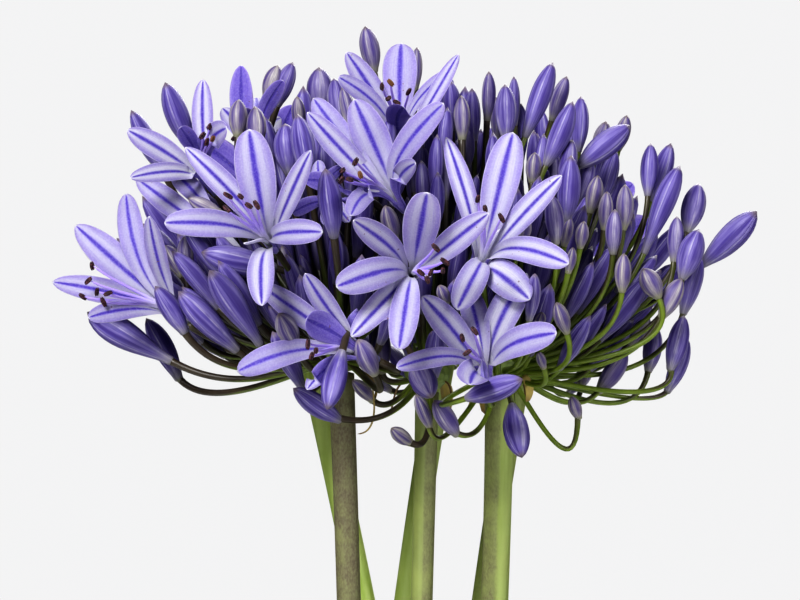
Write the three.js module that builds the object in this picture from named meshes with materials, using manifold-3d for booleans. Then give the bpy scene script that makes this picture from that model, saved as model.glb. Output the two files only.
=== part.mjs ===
// A potted agapanthus (African lily): six scapes rise out of clumps of strap leaves in a plain clay pot.
// Each scape carries an umbel of pedicels that end in open six-tepalled flowers or in closed buds.
// Millimetres, +Z up, +Y away from the photograph's viewer, origin at the middle of the pot's flat foot.
import * as THREE from "three";
import { mergeVertices } from "three/addons/utils/BufferGeometryUtils.js";
import Module from "manifold-3d";

const wasm = await Module();
wasm.setup();
const plant = new THREE.Group();

// Driving sizes
const POT_HEIGHT = 130;
const POT_FOOT_RADIUS = 57;
const POT_RIM_RADIUS = 86;
const POT_FLOOR = 8;
const SOIL_TOP = 116;
const SCAPE_RADIUS = 4.1;
const PEDICEL_RADIUS = 1;
const TEPAL_LENGTH = 38;
const TEPAL_THICKNESS = 0.8;
const TUBE_LENGTH = 11;
const TUBE_RADIUS = 3.6;
const LEAF_WIDTH = 21;
const LEAF_THICKNESS = 1.3;
const GAP = 0.4;

// How the photograph's pixels lie on the plant: a level view, with the picture's middle at the eye's height
const PICTURE_MIDDLE = [400, 300];
const PIXEL_SIZE = 0.34;
const EYE_DISTANCE = 1100;
const EYE_HEIGHT = 430;

// The dome that all the flowers fill together: its middle and half sizes
const DOME_MIDDLE = [2, 0, 400];
const DOME_HALF = [119, 104, 119];
// The same dome's near face as the photograph shows it, in pixels, and how far it stands forward
const DOME_PICTURE = { x: 405, y: 310, halfWidth: 350, halfHeight: 265, forward: 92 };

// The scapes: the pixel and depth of each top, its lean there across and away, its foot in the soil,
// and how strongly it claims the florets between it and the next scape
const SCAPES = [
  { name: "front_left", top: [341, 374, -36], lean: [-0.04, -0.05], foot: [-15, -20], pull: 0 },
  { name: "front_centre", top: [428, 392, -30], lean: [0.048, 0], foot: [2, -31], pull: 500 },
  { name: "front_right", top: [503, 388, -34], lean: [0.03, -0.05], foot: [22, -17], pull: 0 },
  { name: "rear_left", top: [311, 352, 38], lean: [-0.22, 0.1], foot: [15, 8], pull: 0 },
  { name: "rear_centre", top: [444, 350, 46], lean: [0.155, 0.08], foot: [-13, 25], pull: 450 },
  { name: "rear_right", top: [528, 352, 40], lean: [0.172, 0.06], foot: [14, 28], pull: 0 },
];

// Open flowers: the pixel of the throat, how near it is to the dome's face (1 is on it), the way it faces,
// and for each tepal the pixel of its tip, its width in pixels, and how much it comes forward (1) or back (-1)
const FLOWERS = [
  {
    throat: [268, 240],
    layer: 1,
    faces: [-0.2, -0.9, 0.3],
    tips: [
      [185, 147, 25, 1], [249, 129, 40, 1], [311, 150, 22, 1],
      [323, 232, 26, 1], [266, 306, 28, 1], [164, 223, 29, 1],
    ],
  },
  {
    throat: [391, 195],
    layer: 0.85,
    faces: [-0.45, -0.75, 0.5],
    tips: [
      [307, 112, 26, 1], [313, 98, 26, -0.7], [354, 99, 38, 0.3],
      [444, 103, 27, 1], [416, 163, 22, 1], [351, 216, 22, 1],
    ],
  },
  {
    throat: [413, 272],
    layer: 1.12,
    faces: [0.05, -0.97, 0.2],
    tips: [
      [353, 220, 27, 1], [427, 192, 37, 1], [489, 213, 28, 1],
      [399, 350, 30, 0.7], [351, 337, 26, 0.9], [336, 287, 33, 1],
    ],
  },
  {
    throat: [482, 260],
    layer: 0.85,
    faces: [0.1, -0.8, 0.6],
    tips: [
      [446, 137, 23, 0.6], [513, 132, 37, 0.2], [562, 175, 25, 1],
      [569, 264, 28, 1], [511, 304, 36, 0.9], [457, 307, 30, 1],
    ],
  },
  {
    throat: [485, 371],
    layer: 1,
    faces: [-0.1, -0.75, 0.65],
    tips: [
      [422, 296, 31, 0.7], [466, 285, 27, 0.6], [527, 273, 33, 0.4],
      [557, 333, 32, 1], [470, 385, 34, 1], [396, 368, 21, 1],
    ],
  },
  {
    throat: [166, 314],
    layer: 0.45,
    faces: [-0.75, -0.3, 0.35],
    tips: [
      [75, 225, 34, -0.3], [126, 193, 27, -0.6], [149, 216, 22, 0.8],
      [88, 318, 22, 0.6], [52, 282, 26, 0.2], [110, 281, 34, -0.9],
    ],
  },
  {
    throat: [205, 172],
    layer: 0.5,
    faces: [-0.35, -0.6, 0.7],
    tips: [
      [127, 130, 27, 0.4], [180, 127, 18, 0.9], [203, 79, 22, 0],
      [227, 128, 26, 0.9], [137, 188, 27, -0.4], [130, 179, 20, 0.8],
    ],
  },
  {
    throat: [250, 150],
    layer: -0.3,
    faces: [0.05, 0.1, 1],
    tips: [
      [241, 65, 24, 0.3], [283, 80, 18, 0.5], [281, 118, 22, -0.8],
      [256, 98, 26, -1], [222, 108, 22, -0.7], [232, 120, 24, 0.9],
    ],
  },
  {
    throat: [400, 135],
    layer: 0.35,
    faces: [-0.05, -0.5, 0.85],
    tips: [
      [346, 52, 26, 0.3], [401, 43, 35, -0.2], [459, 54, 20, 0.2],
      [453, 69, 16, 0.8], [404, 107, 26, 1], [338, 77, 20, 0.5],
    ],
  },
  {
    throat: [352, 350],
    layer: 0.95,
    faces: [-0.8, -0.4, 0.35],
    tips: [
      [305, 273, 24, 0.4], [412, 303, 24, 0.2], [307, 390, 20, 0.6],
      [237, 372, 28, 0.3], [258, 283, 26, -0.2], [308, 317, 28, 0.9],
    ],
  },
  {
    throat: [335, 195],
    layer: 0.72,
    faces: [-0.8, -0.5, 0.1],
    tips: [
      [303, 180, 20, 0.3], [318, 160, 16, -0.3], [345, 165, 14, -0.6],
      [350, 222, 14, 0.1], [325, 225, 16, 0.4], [292, 213, 16, 0.5],
    ],
  },
];

// Closed buds: the pixels of the foot and the tip, the width in pixels, and how near the foot is
// to the dome's face
const BUDS = [
  // The right umbels, mostly closed, from the rim inwards
  [704, 267, 759, 213, 27, 0], [644, 253, 680, 165, 23, 0.35], [652, 200, 671, 143, 20, 0],
  [648, 196, 651, 143, 18, 0.35], [687, 232, 699, 183, 24, 0.25], [674, 262, 677, 216, 17, 0.4],
  [682, 279, 699, 229, 26, 0.45], [683, 314, 701, 256, 20, 0.15], [661, 318, 682, 278, 20, 0.6],
  [670, 370, 684, 315, 21, 0.4], [598, 392, 627, 351, 20, 0.35], [659, 298, 643, 268, 22, 0.65],
  [622, 292, 624, 253, 17, 0.75], [613, 254, 615, 209, 17, 0.75], [623, 230, 625, 184, 18, 0.5],
  [580, 248, 584, 221, 14, 0.8], [556, 244, 551, 194, 19, 0.85], [566, 222, 571, 155, 24, 0.75],
  [562, 190, 572, 139, 18, 0.5], [546, 165, 573, 101, 22, 0.55], [578, 152, 581, 96, 18, 0.3],
  [579, 166, 630, 125, 26, 0.45], [525, 137, 553, 62, 22, 0.35], [506, 140, 505, 84, 22, 0.45],
  [487, 120, 489, 71, 14, 0], [519, 245, 526, 216, 18, 0.8], [529, 320, 535, 273, 16, 0.95],
  [567, 333, 556, 302, 16, 0.95], [579, 419, 571, 396, 13, 0.6], [512, 405, 522, 458, 26, 0.95],
  [467, 398, 523, 379, 25, 1.15], [577, 205, 592, 160, 18, 0.35],
  // The left umbels, from the rim inwards
  [171, 361, 88, 313, 27, 0.35], [179, 379, 146, 318, 20, 0], [185, 333, 155, 286, 21, 0.75],
  [237, 350, 178, 291, 26, 0.65], [260, 344, 209, 270, 27, 0.7], [275, 268, 201, 252, 30, 0.6],
  [183, 277, 165, 245, 17, 0.25], [222, 215, 188, 198, 16, 0.5], [190, 146, 165, 82, 24, 0.2],
  [163, 172, 131, 110, 20, -0.15], [238, 137, 239, 99, 19, 0.4], [256, 148, 255, 106, 20, 0.45],
  [277, 106, 293, 62, 16, -0.45], [290, 175, 285, 123, 28, 0.45], [308, 178, 297, 114, 24, 0.6],
  [334, 237, 325, 168, 24, 0.95], [295, 346, 279, 313, 22, 0.95],
  // The top and the middle
  [340, 125, 334, 78, 19, 0.15], [352, 130, 342, 87, 15, 0.3], [374, 72, 365, 26, 20, -0.3],
  [452, 130, 450, 80, 19, 0], [462, 140, 461, 95, 17, 0.35],
  // The low ones in front, on pedicels that hang and turn up
  [375, 374, 358, 339, 22, 0.9], [382, 373, 380, 324, 20, 0.4], [340, 420, 293, 388, 22, 0.75],
  [343, 355, 327, 410, 27, 1.05], [415, 362, 432, 398, 27, 0.95], [457, 435, 434, 400, 20, 0.95],
  [411, 443, 391, 428, 15, 0.8],
];

// The florets that the photograph doesn't show are set out by the golden angle on shells of the dome.
// Each shell has its share of the dome's size, how many florets would go all round it, and its lowest
// height.
const RULED_SHELLS = [
  { size: 1, count: 80, lowest: -0.12 },
  { size: 0.78, count: 40, lowest: 0 },
];
const RULED_REACHES = [1, 0.93, 0.86];
const RULED_NEAREST_DEPTH = -18;
const RULED_BUD_LENGTH = 23;
const GOLDEN_ANGLE = Math.PI * (3 - Math.sqrt(5));
const SHORTEST_PEDICEL = 24;
const CLEAR_OF_BODY = 8.5;
const CLEAR_OF_STEM = 4.5;
const CLEAR_OF_NEXT_UMBEL = 5.5;
// Open flowers at the back: the scape's name, the way and distance of the throat from the scape's top,
// and how far the tepals spread
const BACK_FLOWERS = [
  ["rear_left", [-0.62, 0.7, 0.45], 52, 27],
  ["rear_left", [-0.3, 0.25, 0.95], 62, 22],
  ["rear_centre", [0.02, 0.8, 0.5], 50, 14],
  ["rear_right", [0.35, 0.6, 0.6], 54, 21],
];
// The outline of all the flowers together in the photograph, in pixels: these florets stay inside it
const HEAD_OUTLINE = [
  [110, 300], [120, 200], [140, 125], [200, 95], [330, 62], [480, 70], [600, 110], [640, 150],
  [690, 185], [700, 250], [695, 330], [665, 385], [560, 395], [300, 392], [190, 340],
];

const vec = (x, y, z) => new THREE.Vector3(x, y, z);
const UP = vec(0, 0, 1);
const degrees = (angle) => (angle * Math.PI) / 180;

// A number from 0 to 1 that is the same each time for the same two counts
function draw(a, b) {
  const value = Math.sin(a * 12.9898 + b * 78.233) * 43758.5453;
  return value - Math.floor(value);
}

// The point of the plant that a pixel of the photograph shows, at a depth away from the viewer
function picturePoint(px, py, depth) {
  const scale = (PIXEL_SIZE * (EYE_DISTANCE + depth)) / EYE_DISTANCE;
  return vec((px - PICTURE_MIDDLE[0]) * scale, depth, EYE_HEIGHT - (py - PICTURE_MIDDLE[1]) * scale);
}

// How deep the dome's face lies at a pixel, times a layer: 1 on the near face, 0 in the middle plane
function domeDepth(px, py, layer) {
  const across = (px - DOME_PICTURE.x) / DOME_PICTURE.halfWidth;
  const down = (py - DOME_PICTURE.y) / DOME_PICTURE.halfHeight;
  return -DOME_PICTURE.forward * Math.sqrt(Math.max(1 - across ** 2 - down ** 2, 0)) * layer;
}

// A geometry as a solid: one vertex at each place, and no collapsed triangles
function solidOf(geometry) {
  for (const name of ["normal", "uv"]) geometry.deleteAttribute(name);
  const merged = mergeVertices(geometry, 1e-3);
  const corners = merged.index.array;
  const kept = [];
  for (let i = 0; i < corners.length; i += 3) {
    const [a, b, c] = [corners[i], corners[i + 1], corners[i + 2]];
    if (a !== b && b !== c && a !== c) kept.push(a, b, c);
  }
  const vertProperties = new Float32Array(merged.getAttribute("position").array);
  return new wasm.Manifold(new wasm.Mesh({ numProp: 3, vertProperties, triVerts: new Uint32Array(kept) }));
}

// Adds a solid to the plant as a named mesh, with any pocket that crossing blades close in filled
function place(name, solid, colour, roughness) {
  const shells = solid.decompose().filter((shell) => shell.volume() > 0);
  const made = wasm.Manifold.union(shells).getMesh();
  const geometry = new THREE.BufferGeometry();
  geometry.setAttribute("position", new THREE.BufferAttribute(new Float32Array(made.vertProperties), 3));
  geometry.setIndex(new THREE.BufferAttribute(new Uint32Array(made.triVerts), 1));
  geometry.computeVertexNormals();
  const material = new THREE.MeshStandardMaterial({ color: colour, roughness, metalness: 0 });
  const mesh = new THREE.Mesh(geometry, material);
  mesh.name = name;
  plant.add(mesh);
}

// A round stalk along a curve
function stalk(curve, radius, sides, steps) {
  const ring = [];
  for (let i = 0; i < sides; i++) {
    const turn = (2 * Math.PI * i) / sides;
    ring.push(new THREE.Vector2(radius * Math.cos(turn), radius * Math.sin(turn)));
  }
  const section = new THREE.Shape(ring);
  return solidOf(new THREE.ExtrudeGeometry(section, { steps, bevelEnabled: false, extrudePath: curve }));
}

// A turned solid: a profile of [radius, height] pairs from axis to axis, stood on a foot and pointed
// along a way
function turned(profile, sides, foot, way) {
  const points = profile.map(([radius, height]) => new THREE.Vector2(radius, height));
  const geometry = new THREE.LatheGeometry(points, sides);
  geometry.applyQuaternion(new THREE.Quaternion().setFromUnitVectors(vec(0, 1, 0), way));
  geometry.translate(foot.x, foot.y, foot.z);
  return solidOf(geometry);
}

// A thin blade through cross-sections of { middle, across, up, half }, split into triangles alike
// on both faces
function blade(sections, thickness) {
  const places = [];
  for (const { middle, across, up, half } of sections) {
    for (const face of [0.5, -0.5]) {
      for (const side of [-1, 1]) {
        places.push(middle.clone().addScaledVector(across, side * half).addScaledVector(up, face * thickness));
      }
    }
  }
  const corners = [];
  const quad = (a, b, c, d) => corners.push(a, b, c, a, c, d);
  const end = 4 * (sections.length - 1);
  for (let near = 0; near < end; near += 4) {
    const far = near + 4;
    quad(near, near + 1, far + 1, far);
    corners.push(near + 2, far + 2, far + 3, near + 2, far + 3, near + 3);
    quad(near, far, far + 2, near + 2);
    quad(near + 1, near + 3, far + 3, far + 1);
  }
  quad(0, 2, 3, 1);
  quad(end, end + 1, end + 3, end + 2);
  const geometry = new THREE.BufferGeometry().setFromPoints(places);
  geometry.setIndex(corners);
  const solid = solidOf(geometry);
  if (solid.volume() > 0) return solid;
  return solidOf(geometry.setIndex(corners.reverse()));
}

// A pedicel leaves the scape's top, sags outwards and turns into the way its floret points
const PEDICEL_START = 6.2;
const PEDICEL_SINK = 1.5;
const PEDICEL_BEND = 0.38;
const LOWEST_LEAVE = -0.3;
function pedicelCurve(hub, foot, way) {
  const bend = PEDICEL_BEND * hub.distanceTo(foot);
  const turnIn = foot.clone().addScaledVector(way, -bend);
  const leave = turnIn.clone().sub(hub).normalize();
  leave.z = Math.max(leave.z, LOWEST_LEAVE);
  const start = hub.clone().addScaledVector(leave, PEDICEL_START);
  const end = foot.clone().addScaledVector(way, PEDICEL_SINK);
  return new THREE.CubicBezierCurve3(start, hub.clone().addScaledVector(leave, bend), turnIn, end);
}

// A closed bud: a club that swells from a narrow foot and ends in a short point
const BUD_SIDES = 5;
function budSolid(bud) {
  const length = bud.foot.distanceTo(bud.tip);
  const half = bud.width / 2;
  const way = bud.tip.clone().sub(bud.foot).normalize();
  const profile = [[0, -1], [half * 0.86, length * 0.42], [half * 0.92, length * 0.78], [0, length]];
  return turned(profile, BUD_SIDES, bud.foot, way);
}

// An open flower: a short tube, and six tepals that leave it along its axis and bend out to their tips.
// Every second tepal is of the inner whorl: it starts nearer the axis and bends out higher up.
const TUBE_PROFILE = [[0, -1], [TUBE_RADIUS / 2, 1], [TUBE_RADIUS, TUBE_LENGTH], [0, TUBE_LENGTH + 0.5]];
const OUTER_WHORL = { start: 2.7, rise: 0.34, lean: 2.5 };
const INNER_WHORL = { start: 1.8, rise: 0.46, lean: 1 };
const TEPAL_SINK = 2;
const TEPAL_WIDTHS = [[0, 0.22], [0.45, 0.9], [0.76, 1], [1, 0.22]];
function flowerSolids(flower) {
  const tepals = flower.tips.map((tip, k) => {
    const whorl = k % 2 ? INNER_WHORL : OUTER_WHORL;
    const reach = tip.place.clone().sub(flower.throat);
    const outward = reach.clone().addScaledVector(flower.axis, -reach.dot(flower.axis)).normalize();
    const across = flower.axis.clone().cross(outward).normalize();
    const root = flower.throat.clone().addScaledVector(outward, whorl.start);
    root.addScaledVector(flower.axis, -TEPAL_SINK);
    const bend = root.clone().addScaledVector(outward, whorl.lean);
    bend.addScaledVector(flower.axis, whorl.rise * reach.length());
    const line = new THREE.QuadraticBezierCurve3(root, bend, tip.place);
    const sections = TEPAL_WIDTHS.map(([share, width]) => {
      const up = across.clone().cross(line.getTangent(share)).normalize();
      return { middle: line.getPoint(share), across, up, half: (width * tip.width) / 2 };
    });
    return blade(sections, TEPAL_THICKNESS);
  });
  return [turned(TUBE_PROFILE, 6, flower.foot, flower.axis), ...tepals];
}

// The scapes, each a curve from its foot in the soil to its top
const SCAPE_SINK = 22;
const SCAPE_SIDES = 8;
const SCAPE_STEPS = 6;
const HUB_RISE = 6;
for (const scape of SCAPES) {
  scape.hub = picturePoint(...scape.top);
  scape.way = vec(scape.lean[0], scape.lean[1], 1).normalize();
  const foot = vec(scape.foot[0], scape.foot[1], SOIL_TOP - SCAPE_SINK);
  const height = scape.hub.z - foot.z;
  const upright = foot.clone().addScaledVector(UP, height * 0.3);
  const below = scape.hub.clone().addScaledVector(scape.way, -height * 0.42);
  scape.curve = new THREE.CubicBezierCurve3(foot, upright, below, scape.hub);
}

// The scape that a floret belongs to: flat planes part the dome between the scapes
const claim = (scape, point) => scape.hub.distanceToSquared(point) - scape.pull;
const nearestScape = (point) => SCAPES.reduce((a, b) => (claim(a, point) <= claim(b, point) ? a : b));

// Sets a floret's pedicel, and the points on both that its neighbours keep clear of
function hang(floret, scape) {
  floret.scape = scape;
  const hub = scape.hub.clone().addScaledVector(scape.way, HUB_RISE);
  floret.pedicel = pedicelCurve(hub, floret.foot, floret.axis);
  const ends = floret.tips ? floret.tips.map((tip) => tip.place) : [floret.tip];
  const middles = ends.map((end) => end.clone().lerp(floret.foot, 0.5));
  floret.body = [floret.foot, ...ends, ...middles];
  floret.stem = [0.6, 0.8].map((share) => floret.pedicel.getPoint(share));
  return floret;
}

// The flowers that the photograph shows
const NEAREST_TIP = 8;
const florets = FLOWERS.map((shown) => {
  const [px, py] = shown.throat;
  const throat = picturePoint(px, py, domeDepth(px, py, shown.layer));
  const axis = vec(...shown.faces).normalize();
  const tips = shown.tips.map(([tipX, tipY, width, forward]) => {
    const flat = picturePoint(tipX, tipY, throat.y).sub(throat).length();
    const depth = Math.sqrt(Math.max(TEPAL_LENGTH ** 2 - flat ** 2, 0));
    const toward = Math.max(depth, NEAREST_TIP) * forward;
    return { place: picturePoint(tipX, tipY, throat.y - toward), width: width * PIXEL_SIZE };
  });
  const foot = throat.clone().addScaledVector(axis, -TUBE_LENGTH);
  return hang({ throat, axis, tips, foot }, nearestScape(foot));
});

// The buds that the photograph shows, each tipped away from its scape in depth as well
const BUD_DEPTH_LEAN = 0.7;
for (const [footX, footY, tipX, tipY, width, layer] of BUDS) {
  const foot = picturePoint(footX, footY, domeDepth(footX, footY, layer));
  const scape = nearestScape(foot);
  const flat = picturePoint(tipX, tipY, foot.y).sub(foot).length();
  const fromHub = foot.clone().sub(scape.hub).normalize();
  const tip = picturePoint(tipX, tipY, foot.y + fromHub.y * flat * BUD_DEPTH_LEAN);
  const axis = tip.clone().sub(foot).normalize();
  florets.push(hang({ foot, tip, axis, width: width * PIXEL_SIZE }, scape));
}

// Whether a point lies well inside its own scape's share of the dome
function inOwnShare(point, scape) {
  return SCAPES.every((other) => {
    if (other === scape) return true;
    const apart = 2 * other.hub.distanceTo(scape.hub);
    return (claim(other, point) - claim(scape, point)) / apart > CLEAR_OF_NEXT_UMBEL;
  });
}

// Whether the photograph would show a point inside the flowers' outline
function inOutline(point) {
  const scale = (PIXEL_SIZE * (EYE_DISTANCE + point.y)) / EYE_DISTANCE;
  const px = PICTURE_MIDDLE[0] + point.x / scale;
  const py = PICTURE_MIDDLE[1] - (point.z - EYE_HEIGHT) / scale;
  let inside = false;
  HEAD_OUTLINE.forEach(([x1, y1], i) => {
    const [x2, y2] = HEAD_OUTLINE[(i + 1) % HEAD_OUTLINE.length];
    if (y1 > py !== y2 > py && px < x1 + ((x2 - x1) * (py - y1)) / (y2 - y1)) inside = !inside;
  });
  return inside;
}

// The flowers at the back, opened evenly round their axes
BACK_FLOWERS.forEach(([name, direction, distance, spread], count) => {
  const scape = SCAPES.find((each) => each.name === name);
  const way = vec(...direction).normalize();
  const axis = way.clone().addScaledVector(UP, 0.15).normalize();
  const throat = scape.hub.clone().addScaledVector(way, distance);
  const side = axis.clone().cross(vec(0.3, 0.2, 1)).normalize();
  const tips = [0, 1, 2, 3, 4, 5].map((k) => {
    const outward = side.clone().applyAxisAngle(axis, (k * Math.PI) / 3 + draw(count, k) * 0.25);
    const out = spread * (0.9 + 0.2 * draw(count + 3, k));
    const forward = Math.sqrt(TEPAL_LENGTH ** 2 - out ** 2) * 0.8;
    const place = throat.clone().addScaledVector(outward, out).addScaledVector(axis, forward);
    return { place, width: k % 2 ? 8.5 : 12 };
  });
  const foot = throat.clone().addScaledVector(axis, -TUBE_LENGTH);
  florets.push(hang({ throat, axis, tips, foot }, scape));
});

// A bud that the rule sets on a shell, pointing away from the nearest scape's top and up
function ruledBud(shell, i, share) {
  const height = 1 - ((i + 0.5) / shell.count) * (1 - shell.lowest);
  const turn = i * GOLDEN_ANGLE;
  const round = Math.sqrt(1 - height * height);
  const way = [round * Math.cos(turn), round * Math.sin(turn), height];
  const reach = shell.size * share * (0.92 + 0.08 * draw(shell.count, i));
  const end = vec(...way.map((v, axis) => DOME_MIDDLE[axis] + v * DOME_HALF[axis] * reach));
  const scape = nearestScape(end);
  const axis = end.clone().sub(scape.hub).normalize().addScaledVector(UP, 0.75 * (1 - height)).normalize();
  const length = RULED_BUD_LENGTH + 9 * draw(i, shell.count);
  const foot = end.clone().addScaledVector(axis, -length);
  return hang({ foot, tip: end, axis, width: length * 0.27 }, scape);
}

// Whether a floret keeps inside its own umbel and the outline, and off the florets placed before it
const farFrom = (points, others, gap) => {
  return points.every((point) => others.every((other) => point.distanceTo(other) > gap));
};
function hasRoom(floret) {
  if (floret.foot.y < RULED_NEAREST_DEPTH) return false;
  if (floret.foot.distanceTo(floret.scape.hub) < SHORTEST_PEDICEL) return false;
  const marks = [...floret.body, ...floret.stem];
  if (!marks.every((mark) => inOwnShare(mark, floret.scape) && inOutline(mark))) return false;
  return florets.every((other) => {
    if (!farFrom(floret.body, other.body, CLEAR_OF_BODY)) return false;
    return farFrom(floret.stem, other.body, CLEAR_OF_STEM) && farFrom(floret.body, other.stem, CLEAR_OF_STEM);
  });
}

// The rest, on the sides that the photograph doesn't show. One without room is tried further in.
for (const shell of RULED_SHELLS) {
  for (let i = 0; i < shell.count; i++) {
    const found = RULED_REACHES.map((share) => ruledBud(shell, i, share)).find(hasRoom);
    if (found) florets.push(found);
  }
}

// Each umbel is one solid: the swollen top of the scape, its pedicels, and the flowers and buds on them
const RECEPTACLE = [[0, 0], [4.6, 0], [8, 4.5], [6.8, 10], [0, 13]];
const SEAT_GAP = 0.3;
const PEDICEL_SIDES = 3;
const PEDICEL_STEPS = 3;
for (const scape of SCAPES) {
  const seat = scape.hub.clone().addScaledVector(scape.way, SEAT_GAP);
  const solids = [turned(RECEPTACLE, 8, seat, scape.way)];
  for (const floret of florets.filter((each) => each.scape === scape)) {
    solids.push(stalk(floret.pedicel, PEDICEL_RADIUS, PEDICEL_SIDES, PEDICEL_STEPS));
    solids.push(...(floret.tips ? flowerSolids(floret) : [budSolid(floret)]));
  }
  place(`umbel_${scape.name}`, wasm.Manifold.union(solids), 0x6a5acb, 0.55);
  place(`scape_${scape.name}`, stalk(scape.curve, SCAPE_RADIUS, SCAPE_SIDES, SCAPE_STEPS), 0x76854f, 0.6);
}

// The leaves: six clumps, each a short sheathing neck with four strap leaves that arch outwards.
// Each leaf has its turn aside, its start forward of the neck's middle, its length, and how it climbs
// at its foot and at its tip, in degrees.
const CLUMPS = 6;
const CLUMP_RING_RADIUS = 46;
const FIRST_CLUMP_HEADING = 30;
const NECK_HEIGHT = 24;
const NECK_RADIUS = 8.5;
const NECK_SINK = 14;
const LEAF_ROOT_HEIGHT = 5;
const LEAVES = [
  { aside: -24, forward: 5, length: 190, start: 72, end: -66 },
  { aside: 8, forward: 1.7, length: 205, start: 78, end: -50 },
  { aside: 24, forward: -1.7, length: 200, start: 84, end: -12 },
  { aside: -8, forward: -5, length: 215, start: 88, end: 18 },
];
const LEAF_STATIONS = 6;

function leafSolid(root, heading, leaf, length) {
  const outward = vec(Math.cos(heading), Math.sin(heading), 0);
  const across = vec(-Math.sin(heading), Math.cos(heading), 0);
  const middle = root.clone().addScaledVector(outward, leaf.forward);
  const sections = [];
  for (let i = 0; i <= LEAF_STATIONS; i++) {
    const share = i / LEAF_STATIONS;
    const climb = degrees(leaf.start + (leaf.end - leaf.start) * share ** 1.25);
    const along = outward.clone().multiplyScalar(Math.cos(climb)).addScaledVector(UP, Math.sin(climb));
    const width = Math.min(0.42 + 1.8 * share, 1) * Math.sqrt(Math.max(1 - share ** 5, 0.012));
    const up = across.clone().cross(along);
    sections.push({ middle: middle.clone(), across, up, half: (LEAF_WIDTH * width) / 2 });
    middle.addScaledVector(along, length / LEAF_STATIONS);
  }
  return blade(sections, LEAF_THICKNESS);
}

const neckHoles = [];
for (let clump = 0; clump < CLUMPS; clump++) {
  const heading = degrees(FIRST_CLUMP_HEADING + (360 / CLUMPS) * clump);
  const foot = vec(Math.cos(heading), Math.sin(heading), 0).multiplyScalar(CLUMP_RING_RADIUS);
  foot.z = SOIL_TOP - NECK_SINK;
  const neckTop = NECK_SINK + NECK_HEIGHT;
  const neckProfile = [[0, 0], [NECK_RADIUS, 0], [NECK_RADIUS - 1, neckTop - 3], [0, neckTop]];
  const solids = [turned(neckProfile, 8, foot, UP)];
  const root = foot.clone().addScaledVector(UP, NECK_SINK + LEAF_ROOT_HEIGHT);
  LEAVES.forEach((leaf, i) => {
    const length = leaf.length * (0.93 + 0.12 * draw(clump, i + 20));
    const aside = degrees(leaf.aside + 4 * (draw(clump + 5, i) - 0.5));
    solids.push(leafSolid(root, heading + aside, leaf, length));
  });
  place(`leaf_clump_${clump + 1}`, wasm.Manifold.union(solids), 0x4f7a2c, 0.5);
  const holeRadius = NECK_RADIUS + GAP;
  neckHoles.push(turned([[0, -GAP], [holeRadius, -GAP], [holeRadius, neckTop], [0, neckTop]], 8, foot, UP));
}

// The pot: a plain tapered clay pot with a band round its rim and three drain holes in its floor
const POT_SIDES = 28;
const BAND_BOTTOM = 101;
const DRAIN_RADIUS = 5;
const DRAIN_RING_RADIUS = 30;
const POT_PROFILE = [
  [0, 0],
  [POT_FOOT_RADIUS, 0],
  [78, BAND_BOTTOM],
  [82.5, BAND_BOTTOM + 1.5],
  [POT_RIM_RADIUS, POT_HEIGHT - 2],
  [POT_RIM_RADIUS - 2, POT_HEIGHT],
  [78, POT_HEIGHT],
  [72, 100],
  [52, POT_FLOOR],
  [0, POT_FLOOR],
];
const drains = [90, 210, 330].map((turn) => {
  const across = DRAIN_RING_RADIUS * Math.cos(degrees(turn));
  const away = DRAIN_RING_RADIUS * Math.sin(degrees(turn));
  const depth = POT_FLOOR + 2;
  return turned([[0, 0], [DRAIN_RADIUS, 0], [DRAIN_RADIUS, depth], [0, depth]], 8, vec(across, away, -1), UP);
});
const potBody = turned(POT_PROFILE, POT_SIDES, vec(0, 0, 0), UP);
place("pot", potBody.subtract(wasm.Manifold.union(drains)), 0xb5694a, 0.85);

// The soil fills the pot to below its rim, with plain holes where the scapes and the leaf clumps stand
const SOIL_PROFILE = [
  [0, POT_FLOOR + GAP],
  [51.4, POT_FLOOR + GAP],
  [71.5, 100],
  [74, SOIL_TOP - 1],
  [0, SOIL_TOP + 1],
];
const scapeHoles = SCAPES.map((scape) => {
  const low = scape.curve.getPoint(0).addScaledVector(UP, -GAP);
  const line = new THREE.LineCurve3(low, scape.curve.getPointAt(1 / SCAPE_STEPS));
  return stalk(line, SCAPE_RADIUS + GAP, SCAPE_SIDES, 1);
});
const soilBody = turned(SOIL_PROFILE, POT_SIDES, vec(0, 0, 0), UP);
place("soil", soilBody.subtract(wasm.Manifold.union([...scapeHoles, ...neckHoles])), 0x3a2a20, 0.95);

export default plant;
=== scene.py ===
import math
import random

import bmesh
import bpy
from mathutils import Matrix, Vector, noise


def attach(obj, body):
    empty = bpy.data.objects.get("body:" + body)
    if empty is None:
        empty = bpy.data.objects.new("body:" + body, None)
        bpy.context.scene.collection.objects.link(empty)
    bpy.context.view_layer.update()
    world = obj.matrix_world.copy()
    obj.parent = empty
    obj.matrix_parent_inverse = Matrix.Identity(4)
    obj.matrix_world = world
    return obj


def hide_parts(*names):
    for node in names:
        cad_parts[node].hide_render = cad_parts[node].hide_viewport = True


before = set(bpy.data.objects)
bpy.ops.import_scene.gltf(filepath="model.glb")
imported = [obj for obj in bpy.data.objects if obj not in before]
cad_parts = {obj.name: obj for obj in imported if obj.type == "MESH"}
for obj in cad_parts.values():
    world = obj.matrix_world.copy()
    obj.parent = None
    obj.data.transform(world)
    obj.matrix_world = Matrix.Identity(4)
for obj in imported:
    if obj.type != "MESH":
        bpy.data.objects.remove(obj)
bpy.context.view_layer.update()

# The camera
# The photograph looks level at the umbels from just over a metre away. Once a depth is chosen, one of
# its 800 by 600 pixels gives a place across and up. Pixels are measured at the plant's middle plane.
MM = 0.001
PICTURE_MIDDLE = (400, 300)
PICTURE_WIDTH = 800
PIXEL = 0.34 * MM
EYE_DISTANCE = 1.1
EYE_HEIGHT = 0.43
SENSOR_WIDTH = 36.0


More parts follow.
